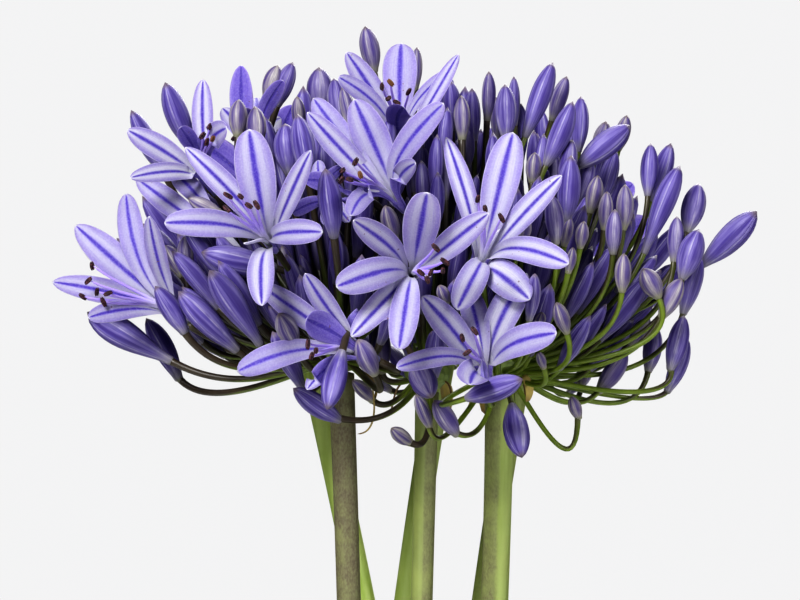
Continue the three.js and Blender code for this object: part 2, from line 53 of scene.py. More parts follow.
def seen(px, py, depth):
    """The place that a pixel of the photograph shows, at a depth away from the viewer."""
    scale = PIXEL * (EYE_DISTANCE + depth) / EYE_DISTANCE
    across = (px - PICTURE_MIDDLE[0]) * scale
    return Vector((across, depth, EYE_HEIGHT - (py - PICTURE_MIDDLE[1]) * scale))


camera_data = bpy.data.cameras.new("camera")
camera_data.sensor_width = SENSOR_WIDTH
camera_data.lens = SENSOR_WIDTH * EYE_DISTANCE / (PICTURE_WIDTH * PIXEL)
camera = bpy.data.objects.new("camera", camera_data)
camera.location = (0, -EYE_DISTANCE, EYE_HEIGHT)
camera.rotation_euler = (math.radians(90), 0, 0)
bpy.context.collection.objects.link(camera)
bpy.context.scene.camera = camera

# The studio
# A pale floor fades into a pale surround, as in a light tent. One large soft lamp stands above and
# to the left of the camera, weaker ones low and to the right, and one behind the plant.
FLOOR_RADIUS = 2.6
FLOOR_FADE = (0.45, 0.95)
BACKGROUND = (0.9, 0.9, 0.905, 1)
FILL_STRENGTH = 0.08
BACKDROP_STRENGTH = 0.815
LAMPS = [
    ("key_lamp", (-0.7, -1.5, 1.5), 0.9, 46),
    ("low_lamp", (-0.5, -1.7, 0.3), 0.7, 3.5),
    ("side_lamp", (1.6, -1.1, 0.8), 1.0, 12),
    ("back_lamp", (0.5, 1.6, 1.5), 1.4, 38),
]
LAMP_AIM = Vector((0, 0, 0.36))


def add(tree, kind, inputs=(), **settings):
    """Add a shader node. An input is linked where it is given a socket, and set where it is a value."""
    made = tree.nodes.new(kind)
    for name, value in settings.items():
        setattr(made, name, value)
    for socket, value in dict(inputs).items():
        if isinstance(value, bpy.types.NodeSocket):
            tree.links.new(value, made.inputs[socket])
        else:
            made.inputs[socket].default_value = value
    return made


def sums(tree, operation, first, second=0.0):
    """The result of a sum on one or two sockets or numbers."""
    return add(tree, "ShaderNodeMath", {0: first, 1: second}, operation=operation).outputs[0]


def ramp(tree, value, start, end, low=0.0, high=1.0):
    """A smooth step from low to high as the value goes from start to end."""
    made = add(
        tree,
        "ShaderNodeMapRange",
        {"Value": value, "From Min": start, "From Max": end, "To Min": low, "To Max": high},
        interpolation_type="SMOOTHSTEP",
    )
    return made.outputs["Result"]


def blend(tree, share, first, second):
    """One colour passing into another by a share from 0 to 1."""
    made = add(tree, "ShaderNodeMix", {"Factor": share, 6: first, 7: second}, data_type="RGBA")
    return made.outputs[2]


def new_material(name):
    """An empty material, its node tree and its principled shader."""
    material = bpy.data.materials.new(name)
    material.use_nodes = True
    tree = material.node_tree
    return material, tree, tree.nodes["Principled BSDF"]


def place_on(tree):
    """A socket for the place of a point on its piece."""
    return add(tree, "ShaderNodeTexCoord").outputs["Object"]


world = bpy.data.worlds.new("surround")
world.use_nodes = True
bpy.context.scene.world = world
sky = world.node_tree
fill = sky.nodes["Background"]
fill.inputs["Color"].default_value = BACKGROUND
fill.inputs["Strength"].default_value = FILL_STRENGTH
backdrop = add(sky, "ShaderNodeBackground", {"Color": BACKGROUND, "Strength": BACKDROP_STRENGTH})
rays = add(sky, "ShaderNodeLightPath")
which = add(
    sky,
    "ShaderNodeMixShader",
    {0: rays.outputs["Is Camera Ray"], 1: fill.outputs[0], 2: backdrop.outputs[0]},
)
sky.links.new(which.outputs[0], sky.nodes["World Output"].inputs["Surface"])

for name, place, size, power in LAMPS:
    lamp_data = bpy.data.lights.new(name, "AREA")
    lamp_data.shape = "DISK"
    lamp_data.size = size
    lamp_data.energy = power
    lamp = bpy.data.objects.new(name, lamp_data)
    lamp.location = place
    lamp.rotation_euler = (LAMP_AIM - Vector(place)).to_track_quat("-Z", "Y").to_euler()
    bpy.context.collection.objects.link(lamp)

bm = bmesh.new()
bmesh.ops.create_circle(bm, cap_ends=True, segments=96, radius=FLOOR_RADIUS)
floor_mesh = bpy.data.meshes.new("floor")
bm.to_mesh(floor_mesh)
bm.free()
paper, tree, shader = new_material("pale_paper")
shader.inputs["Base Color"].default_value = (0.86, 0.86, 0.865, 1)
shader.inputs["Roughness"].default_value = 0.9
from_middle = add(tree, "ShaderNodeVectorMath", {0: place_on(tree)}, operation="LENGTH")
fade = ramp(tree, from_middle.outputs["Value"], FLOOR_FADE[0], FLOOR_FADE[1])
clear = add(tree, "ShaderNodeBsdfTransparent")
faded = add(
    tree,
    "ShaderNodeMixShader",
    {0: fade, 1: shader.outputs[0], 2: clear.outputs[0]},
)
tree.links.new(faded.outputs[0], tree.nodes["Material Output"].inputs["Surface"])
floor_mesh.materials.append(paper)
floor = bpy.data.objects.new("floor", floor_mesh)
bpy.context.collection.objects.link(floor)

view = bpy.context.scene.view_settings
view.view_transform = "Standard"
view.look = "High Contrast"
view.exposure = -0.2

# The pot
# A plain tapered pot of unglazed red clay, pressed in a mould and fired, with a thick band round its
# rim. Three drain holes go through its floor, and a pale bloom of salts has dried on its wall.
POT_PROFILE = [
    (0, 0), (30, 0), (55.5, 0), (57, 1.2), (62, 25), (67, 50), (72, 74), (77.8, 100.4),
    (82.4, 101.6), (83.2, 105), (84.6, 116), (86, 127), (85.4, 129.2), (84, 130), (80, 130),
    (78, 129), (77.2, 125), (72, 100), (62, 54), (52, 8), (26, 8), (0, 8),
]
POT_STEPS = 112
DRAIN_RADIUS = 5 * MM
DRAIN_RING_RADIUS = 30 * MM
DRAIN_TURNS = (90, 210, 330)
DRAIN_STEPS = 32
DRAIN_CUTTER_HEIGHT = 30 * MM
EDGE_SOFTENING = 0.6 * MM
SOFTENED_ANGLE = 38


def turned(bm, profile, steps):
    """Turn a profile of radius and height, in millimetres, round the upright axis."""
    verts = [bm.verts.new((radius * MM, 0, height * MM)) for radius, height in profile]
    edges = [bm.edges.new(pair) for pair in zip(verts, verts[1:])]
    bmesh.ops.spin(
        bm,
        geom=verts + edges,
        cent=(0, 0, 0),
        axis=(0, 0, 1),
        angle=math.tau,
        steps=steps,
        use_merge=True,
    )
    bmesh.ops.remove_doubles(bm, verts=bm.verts, dist=0.01 * MM)


def new_piece(name, bm, material, slot, *nodes):
    """Make a bmesh a smooth piece of the plant that stands for some CAD nodes."""
    bmesh.ops.recalc_face_normals(bm, faces=bm.faces)
    mesh = bpy.data.meshes.new(name)
    bm.to_mesh(mesh)
    bm.free()
    mesh.shade_smooth()
    mesh.materials.append(material)
    piece = bpy.data.objects.new(name, mesh)
    bpy.context.collection.objects.link(piece)
    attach(piece, "root")
    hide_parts(*nodes)
    return piece


def mottling(tree, at, scale, detail, roughness=0.5):
    """A socket of soft noise over a place, about 0.5 on the whole."""
    inputs = {"Vector": at, "Scale": scale, "Detail": detail, "Roughness": roughness}
    return add(tree, "ShaderNodeTexNoise", inputs).outputs[0]


def dress(tree, shader, colour, roughness, shine, relief, strength, depth):
    """Give a shader its colour, how rough and shiny it is, and a relief of a strength and a depth."""
    tree.links.new(colour, shader.inputs["Base Color"])
    shader.inputs["Roughness"].default_value = roughness
    shader.inputs["Specular IOR Level"].default_value = shine
    bump = add(tree, "ShaderNodeBump", {"Height": relief, "Strength": strength, "Distance": depth})
    tree.links.new(bump.outputs[0], shader.inputs["Normal"])


clay, tree, shader = new_material("fired_clay")
at = place_on(tree)
clouds = mottling(tree, at, 22.0, 6.0)
grit = mottling(tree, at, 900.0, 3.0)
bloom = mottling(tree, at, 38.0, 8.0, 0.7)
height = add(tree, "ShaderNodeSeparateXYZ", {0: at}).outputs["Z"]
low = ramp(tree, height, 0.0, 0.05, 1.0, 0.0)
salts = sums(tree, "MULTIPLY", ramp(tree, bloom, 0.5, 0.72), sums(tree, "ADD", low, 0.3))
warm = blend(tree, clouds, (0.42, 0.14, 0.07, 1), (0.62, 0.25, 0.13, 1))
speckled = blend(tree, ramp(tree, grit, 0.62, 0.75, 0.0, 0.5), warm, (0.3, 0.09, 0.05, 1))
dusty = blend(tree, sums(tree, "MULTIPLY", salts, 0.55), speckled, (0.72, 0.6, 0.5, 1))
lines = add(
    tree,
    "ShaderNodeTexWave",
    {"Vector": at, "Scale": 95.0, "Distortion": 1.2, "Detail": 3.0},
    bands_direction="Z",
)
relief = sums(tree, "ADD", sums(tree, "MULTIPLY", lines.outputs["Fac"], 0.35), grit)
dress(tree, shader, dusty, 0.88, 0.25, relief, 0.35, 0.4 * MM)

bm = bmesh.new()
turned(bm, POT_PROFILE, POT_STEPS)
pot = new_piece("clay_pot", bm, clay, "clay", "pot")
bm = bmesh.new()
for turn in DRAIN_TURNS:
    made = bmesh.ops.create_cone(
        bm,
        cap_ends=True,
        segments=DRAIN_STEPS,
        radius1=DRAIN_RADIUS,
        radius2=DRAIN_RADIUS,
        depth=DRAIN_CUTTER_HEIGHT,
    )
    angle = math.radians(turn)
    aside = Vector((math.cos(angle), math.sin(angle), 0)) * DRAIN_RING_RADIUS
    bmesh.ops.translate(bm, verts=made["verts"], vec=aside)
drain_mesh = bpy.data.meshes.new("drains")
bm.to_mesh(drain_mesh)
bm.free()
drains = bpy.data.objects.new("drains", drain_mesh)
bpy.context.collection.objects.link(drains)
cut = pot.modifiers.new("drain_holes", "BOOLEAN")
cut.object = drains
cut.operation = "DIFFERENCE"
cut.solver = "EXACT"
bpy.context.view_layer.update()
pot_shape = bpy.data.meshes.new_from_object(pot.evaluated_get(bpy.context.evaluated_depsgraph_get()))
pot.modifiers.remove(cut)
bpy.data.objects.remove(drains)
pot.data = pot_shape
soften = pot.modifiers.new("soft_edges", "BEVEL")
soften.width = EDGE_SOFTENING
soften.segments = 2
soften.limit_method = "ANGLE"
soften.angle_limit = math.radians(SOFTENED_ANGLE)

# The potting soil
# Dark peat and composted bark, pressed down round the roots and a finger's width below the rim.
# Its crumbs and chips are loose on top, with a few grains of white perlite among them.
SOIL_TOP = 116 * MM
SOIL_WALL = [(0, 8.6), (25, 8.6), (51.2, 8.6), (61.4, 54), (71.3, 99.5), (73.6, 111)]
SOIL_RINGS = 26
SOIL_STEPS = 120
SOIL_EDGE = 74.2
CRUMBS = 420
CRUMB_RADIUS = (0.7, 2.1)
PERLITE_SHARE = 0.06


def tint_on(tree):
    """A socket for the tint that a point of a piece was given, from 0 to 1."""
    return add(tree, "ShaderNodeAttribute", attribute_name="tint").outputs["Fac"]


soil_material, tree, shader = new_material("peat_and_bark")
at = place_on(tree)
tint = tint_on(tree)
lumps = mottling(tree, at, 260.0, 8.0, 0.65)
fibres = add(tree, "ShaderNodeTexVoronoi", {"Vector": at, "Scale": 700.0})
dark = blend(tree, lumps, (0.012, 0.008, 0.006, 1), (0.095, 0.058, 0.036, 1))
chip = blend(tree, ramp(tree, tint, 0.3, 0.8), dark, (0.17, 0.095, 0.05, 1))
white = blend(tree, ramp(tree, tint, 0.93, 0.97), chip, (0.72, 0.71, 0.67, 1))
rough = sums(tree, "ADD", lumps, sums(tree, "MULTIPLY", fibres.outputs["Distance"], 0.6))
dress(tree, shader, white, 0.95, 0.15, rough, 0.8, 1.2 * MM)

bm = bmesh.new()
tint_layer = bm.verts.layers.float.new("tint")
top = [(SOIL_EDGE * (1 - ring / SOIL_RINGS), SOIL_TOP / MM - 0.5) for ring in range(SOIL_RINGS + 1)]
turned(bm, SOIL_WALL + top, SOIL_STEPS)
for vert in bm.verts:
    if vert.co.z > SOIL_TOP - 3 * MM:
        coarse = noise.noise(vert.co * 70) * 1.6 * MM
        fine = noise.noise(vert.co * 330) * 1.1 * MM
        vert.co.z += coarse + fine
crumb_draw = random.Random(11)
for _ in range(CRUMBS):
    size = crumb_draw.uniform(*CRUMB_RADIUS) * MM
    made = bmesh.ops.create_icosphere(bm, subdivisions=1, radius=size)
    radius = SOIL_EDGE * MM * math.sqrt(crumb_draw.random()) * 0.97
    angle = crumb_draw.uniform(0, math.tau)
    white_grain = crumb_draw.random() < PERLITE_SHARE
    shade = 1.0 if white_grain else crumb_draw.uniform(0, 0.85)
    squash = Vector((1, crumb_draw.uniform(0.5, 1), crumb_draw.uniform(0.35, 0.8)))
    bmesh.ops.scale(bm, verts=made["verts"], vec=squash)
    place = Vector((radius * math.cos(angle), radius * math.sin(angle), SOIL_TOP + 0.3 * MM))
    spin = crumb_draw.uniform(0, math.tau)
    for vert in made["verts"]:
        x, y = vert.co.x, vert.co.y
        vert.co.x = x * math.cos(spin) - y * math.sin(spin)
        vert.co.y = x * math.sin(spin) + y * math.cos(spin)
        vert.co *= 1 + 0.25 * noise.noise(place * 400 + vert.co * 600)
        vert.co += place
        vert[tint_layer] = shade
new_piece("potting_soil", bm, soil_material, "potting_soil", "soil")

# The leaf clumps
# Six shoots stand in a ring, each a short neck of sheathing leaf bases with four strap leaves that
# arch outwards. A leaf is fleshy and satin-green, with a shallow channel and fine lengthwise veins.
CLUMPS = 6
CLUMP_RING_RADIUS = 46 * MM
FIRST_CLUMP_HEADING = 30
NECK_HEIGHT = 24 * MM
NECK_RADIUS = 8.5 * MM
NECK_SINK = 14 * MM
NECK_SIDES = 20
NECK_STEPS = 9
LEAF_ROOT_HEIGHT = 5 * MM
LEAF_ROOT_SINK = 11 * MM
LEAF_WIDTH = 21 * MM
LEAF_THICKNESS = 1.5 * MM
LEAF_RIPPLE = 0.25 * MM
LEAF_BENDS = 6
LEAF_RINGS = 40
LEAF_SIDES = 18
# For each leaf: degrees aside, start forward of the neck's middle, length, first and last climb
LEAVES = [(-24, 5, 190, 72, -66), (8, 1.7, 205, 78, -50), (24, -1.7, 200, 84, -12), (-8, -5, 215, 88, 18)]
UP = Vector((0, 0, 1))


def draw(first, second):
    """A number from 0 to 1 that is the same each time for the same two counts."""
    value = math.sin(first * 12.9898 + second * 78.233) * 43758.5453
    return value - math.floor(value)


def through(points, share):
    """A point at a share of the way along a smooth line through all the points."""
    last = len(points) - 1
    index = min(int(share * last), last - 1)
    part = share * last - index
    before = points[max(index - 1, 0)]
    near, far = points[index], points[index + 1]
    after = points[min(index + 2, last)]
    bend = 2 * before - 5 * near + 4 * far - after
    twist = 3 * near - before - 3 * far + after
    return near + 0.5 * part * ((far - before) + part * (bend + part * twist))


def grow(bm, stations, sides, tint, groove=0.0):
    """A closed skin over cross-sections, from a sphere whose rings are moved to them. A station is
    a middle, a way across, a way up, a half width, a half thickness and a lift of the edges.
    A groove sinks the skin along six seams, as a share of the radius."""
    layer = bm.verts.layers.float["tint"]
    rings = len(stations) - 1
    made = bmesh.ops.create_uvsphere(bm, u_segments=sides, v_segments=rings, radius=1.0, calc_uvs=True)
    for vert in made["verts"]:
        polar = math.acos(max(-1.0, min(1.0, vert.co.z))) / math.pi
        ring = round((1 - polar) * rings)
        turn = math.atan2(vert.co.y, vert.co.x)
        middle, across, up, half, thick, lift = stations[ring]
        vert[layer] = tint
        if ring in (0, rings):
            vert.co = middle
            continue
        seam = 1 - groove * (1 - abs(math.sin(3 * turn))) ** 3
        aside = math.cos(turn)
        height = math.sin(turn) * thick * seam + lift * aside * aside
        vert.co = middle + across * (aside * half * seam) + up * height


def round_stations(points, radii):
    """Cross-sections of a round stalk through points, each turned as little as can be from the last."""
    across = (points[1] - points[0]).orthogonal().normalized()
    last = len(points) - 1
    stations = []
    for i, (point, radius) in enumerate(zip(points, radii)):
        along = points[min(i + 1, last)] - points[max(i - 1, 0)]
        across = (across - across.project(along)).normalized()
        up = along.cross(across).normalized()
        stations.append((point, across, up, radius, radius, 0.0))
    return stations


def new_growth():
    """An empty bmesh for grown parts, with the layers that their materials read."""
    bm = bmesh.new()
    bm.loops.layers.uv.new("skin")
    bm.verts.layers.float.new("tint")
    return bm


def skin_coordinates(tree):
    """Sockets for how far a point of a grown skin lies round it and along it, from 0 to 1."""
    uv = add(tree, "ShaderNodeUVMap", uv_map="skin")
    apart = add(tree, "ShaderNodeSeparateXYZ", {0: uv.outputs["UV"]})
    return uv.outputs["UV"], apart.outputs["X"], apart.outputs["Y"]


def side_of(tree, around):
    """How far across a flat blade a point lies, from 0 on its middle line to 1 at its edges."""
    angle = sums(tree, "MULTIPLY", sums(tree, "SUBTRACT", around, 0.5), math.tau)
    return sums(tree, "ABSOLUTE", sums(tree, "COSINE", angle))


leaf_material, tree, shader = new_material("strap_leaf_green")
skin, around, along = skin_coordinates(tree)
tint = tint_on(tree)
aside = side_of(tree, around)
at = place_on(tree)
blotches = mottling(tree, at, 45.0, 4.0)
stretch = add(tree, "ShaderNodeCombineXYZ", {"X": sums(tree, "MULTIPLY", aside, 17.0), "Y": along})
veins = mottling(tree, stretch.outputs[0], 2.4, 3.0)
green = blend(tree, tint, (0.045, 0.13, 0.022, 1), (0.1, 0.23, 0.035, 1))
green = blend(tree, ramp(tree, veins, 0.35, 0.7, 0.0, 0.55), green, (0.15, 0.3, 0.06, 1))
green = blend(tree, ramp(tree, blotches, 0.5, 0.75, 0.0, 0.35), green, (0.06, 0.15, 0.03, 1))
green = blend(tree, ramp(tree, aside, 0.0, 0.14, 0.45, 0.0), green, (0.2, 0.36, 0.11, 1))
green = blend(tree, ramp(tree, aside, 0.93, 1.0, 0.0, 0.6), green, (0.3, 0.42, 0.16, 1))
green = blend(tree, ramp(tree, along, 0.0, 0.16, 0.85, 0.0), green, (0.42, 0.5, 0.27, 1))
green = blend(tree, ramp(tree, along, 0.95, 1.0, 0.0, 0.8), green, (0.35, 0.28, 0.09, 1))
dress(tree, shader, green, 0.42, 0.45, veins, 0.5, 0.35 * MM)

for clump in range(CLUMPS):
    bm = new_growth()
    heading = math.radians(FIRST_CLUMP_HEADING + 360 / CLUMPS * clump)
    foot = Vector((math.cos(heading), math.sin(heading), 0)) * CLUMP_RING_RADIUS
    foot.z = SOIL_TOP - NECK_SINK
    neck_top = NECK_SINK + NECK_HEIGHT
    neck_points = [foot + UP * (neck_top * step / NECK_STEPS) for step in range(NECK_STEPS + 1)]
    neck_radii = [NECK_RADIUS * (1 - 0.02 * step) for step in range(NECK_STEPS)] + [0]
    grow(bm, round_stations(neck_points, neck_radii), NECK_SIDES, 0.9)
    root = foot + UP * (NECK_SINK + LEAF_ROOT_HEIGHT)
    for i, (turn_aside, forward, length, first_climb, last_climb) in enumerate(LEAVES):
        length *= MM * (0.93 + 0.12 * draw(clump, i + 20))
        turn = heading + math.radians(turn_aside + 4 * (draw(clump + 5, i) - 0.5))
        outward = Vector((math.cos(turn), math.sin(turn), 0))
        across = Vector((-math.sin(turn), math.cos(turn), 0))
        bends = [root + outward * (forward * MM)]
        for step in range(LEAF_BENDS):
            share = step / LEAF_BENDS
            climb = math.radians(first_climb + (last_climb - first_climb) * share**1.25)
            way = outward * math.cos(climb) + UP * math.sin(climb)
            bends.append(bends[-1] + way * (length / LEAF_BENDS))
        bends.insert(0, bends[0] - UP * LEAF_ROOT_SINK)
        lean = math.radians(9 * (draw(clump + 2, i) - 0.5))
        stations = []
        for ring in range(LEAF_RINGS + 1):
            share = ring / LEAF_RINGS
            middle = through(bends, share)
            ahead = through(bends, min(share + 0.01, 1)) - through(bends, max(share - 0.01, 0))
            turned_across = (across + UP * (lean * share)).normalized()
            turned_across = (turned_across - turned_across.project(ahead)).normalized()
            up = ahead.cross(turned_across).normalized()
            swell = min(0.42 + 1.8 * max(share - 0.1, 0), 1)
            half = LEAF_WIDTH / 2 * swell * math.sqrt(max(1 - share**7, 0))
            ripple = LEAF_RIPPLE * math.sin(share * 21 + clump + i)
            lift = half * (0.62 - 0.44 * min(share * 3.2, 1)) + ripple
            thick = LEAF_THICKNESS / 2 * (1.5 - 0.9 * share)
            stations.append((middle, turned_across, up, half, thick, lift))
        grow(bm, stations, LEAF_SIDES, draw(clump, i + 3))
    new_piece(f"leaves_{clump + 1}", bm, leaf_material, "strap_leaf", f"leaf_clump_{clump + 1}")

# The scapes
# Six bare flower stalks rise out of the clumps, thick as a pencil, fleshy and faintly ribbed. The
# front left one is greyish with purple-brown flecks, and the ones behind are a fresh green.
SCAPE_RADIUS = 4.2 * MM
SCAPE_SINK = 22 * MM
SCAPE_CROWN = 1.5 * MM
SCAPE_RINGS = 60
SCAPE_SIDES = 24
# For each scape: the pixel and depth of its top, its lean there, its foot, its pull on florets between
# two scapes, its girth, its freshness of green, its share of brown flecks and the side they are on, and
# how stout and how purple its pedicels are
SCAPES = {
    "front_left": ((341, 374, -36), (-0.04, -0.05), (-15, -20), 0, 0.98, 0.2, 1.0, 0, 1.3, 0.9),
    "front_centre": ((427, 392, -30), (0.022, 0), (2, -31), 500, 0.88, 0.35, 0.6, 1, 1.2, 0.7),
    "front_right": ((500, 388, -34), (0.012, -0.05), (22, -17), 0, 1.12, 0.85, 0.7, -1, 1.0, 0.2),
    "rear_left": ((310, 352, 38), (-0.22, 0.1), (16, 8), 0, 1.08, 1.3, 0.05, 0, 1.2, 0.85),
    "rear_centre": ((444, 350, 46), (0.165, 0.08), (-15, 25), 450, 1.04, 0.85, 0.05, 0, 1.1, 0.5),
    "rear_right": ((522, 352, 40), (0.172, 0.06), (12, 28), 0, 1.0, 0.85, 0.25, 0, 1.0, 0.3),
}


def bezier(start, first, second, end, share):
    """A point on a cubic curve."""
    rest = 1 - share
    near = start * rest**3 + first * (3 * rest * rest * share)
    return near + second * (3 * rest * share * share) + end * share**3


class Scape:
    """Where one flower stalk stands, and what its florets share."""

    def __init__(self, name, top, lean, foot, pull, girth, freshness, flecks, side, stout, purple):
        self.name = name
        self.hub = seen(top[0], top[1], top[2] * MM)
        self.way = Vector((lean[0], lean[1], 1)).normalized()
        self.foot = Vector((foot[0] * MM, foot[1] * MM, SOIL_TOP - SCAPE_SINK))
        self.pull = pull * MM * MM
        self.girth = girth
        self.freshness = freshness
        self.flecks = flecks
        self.side = side
        self.stout = stout
        self.purple = purple

    def claim(self, point):
        """How far a point is from this scape's share of the dome: the lowest claim wins."""
        return (self.hub - point).length_squared - self.pull


scapes = [Scape(name, *facts) for name, facts in SCAPES.items()]
for scape in scapes:
    material, tree, shader = new_material(f"scape_green_{scape.name}")
    skin, around, along = skin_coordinates(tree)
    at = place_on(tree)
    long_way = add(tree, "ShaderNodeMapping", {"Vector": at, "Scale": (260.0, 260.0, 10.0)})
    streaks = mottling(tree, long_way.outputs[0], 1.0, 4.0)
    clouds = mottling(tree, at, 60.0, 5.0)
    short_way = add(tree, "ShaderNodeMapping", {"Vector": at, "Scale": (1600.0, 1600.0, 900.0)})
    dots = mottling(tree, short_way.outputs[0], 1.0, 4.0)
    patches = mottling(tree, at, 150.0, 6.0)
    fresh = scape.freshness
    dull = (0.22 + 0.08 * fresh, 0.24 + 0.15 * fresh, 0.1 - 0.01 * fresh, 1)
    bright = (0.31 + 0.14 * fresh, 0.35 + 0.2 * fresh, 0.155 + 0.035 * fresh, 1)
    green = blend(tree, ramp(tree, streaks, 0.25, 0.75), dull, bright)
    green = blend(tree, ramp(tree, clouds, 0.4, 0.7, 0.0, 0.45), green, (0.42, 0.48, 0.16, 1))
    # Painted shade: each stalk is darkened over its lower half, fading out below its top
    green = blend(tree, ramp(tree, along, 0.55, 0.92, 0.35, 0.0), green, (0.1, 0.12, 0.04, 1))
    normal = add(tree, "ShaderNodeNewGeometry").outputs["Normal"]
    rightward = add(tree, "ShaderNodeSeparateXYZ", {0: normal}).outputs["X"]
    turned_to = sums(tree, "MULTIPLY", rightward, scape.side)
    ragged = sums(tree, "MULTIPLY", sums(tree, "SUBTRACT", streaks, 0.5), 0.6)
    on_side = ramp(tree, sums(tree, "ADD", turned_to, ragged), -0.2, 0.12, 0.12, 1.0)
    share = sums(tree, "MULTIPLY", on_side if scape.side else 1.0, scape.flecks)
    film = sums(tree, "MULTIPLY", share, ramp(tree, patches, 0.3, 0.65, 0.6, 0.9))
    flecked = blend(tree, film, green, (0.19, 0.17, 0.11, 1))
    spots = sums(
        tree,
        "MULTIPLY",
        ramp(tree, dots, 0.25, 0.85),
        ramp(tree, patches, 0.3, 0.6, 0.35, 0.8),
    )
    flecked = blend(tree, sums(tree, "MULTIPLY", spots, share), flecked, (0.085, 0.055, 0.042, 1))
    dress(tree, shader, flecked, 0.5, 0.4, streaks, 0.35, 0.5 * MM)

    height = scape.hub.z - scape.foot.z
    upright = scape.foot + UP * (height * 0.3)
    below = scape.hub - scape.way * (height * 0.42)
    points = []
    radii = []
    for ring in range(SCAPE_RINGS + 1):
        share = ring / SCAPE_RINGS
        points.append(bezier(scape.foot, upright, below, scape.hub, share))
        radii.append(SCAPE_RADIUS * scape.girth * (1.02 - 0.08 * share + 0.12 * share**12))
    points.append(scape.hub + scape.way * SCAPE_CROWN)
    radii.append(0)
    bm = new_growth()
    grow(bm, round_stations(points, radii), SCAPE_SIDES, 0.5)
    new_piece(f"stalk_{scape.name}", bm, material, "scape", f"scape_{scape.name}")

# The florets' places
# Each scape carries thirty to fifty florets in a round umbel, the young ones innermost. Those that the
# photograph shows stand where it shows them, and the rest follow the golden angle, as in a seed head.
HUB_RISE = 6 * MM
DOME_PIXEL = (405, 310)
DOME_PIXEL_HALF = (350, 265)
DOME_FORWARD = 92 * MM
DOME_MIDDLE = Vector((2, 0, 400)) * MM
DOME_HALF = Vector((119, 104, 119)) * MM
PEDICEL_START = 5.6 * MM
PEDICEL_BEND = 0.38
PEDICEL_SINK = 1.2 * MM
LOWEST_LEAVE = -0.3
TUBE_LENGTH = 11 * MM
TEPAL_LENGTH = 38 * MM
STAMEN_LENGTH = 27 * MM
NEAREST_TIP = 8 * MM
BUD_DEPTH_LEAN = 0.7

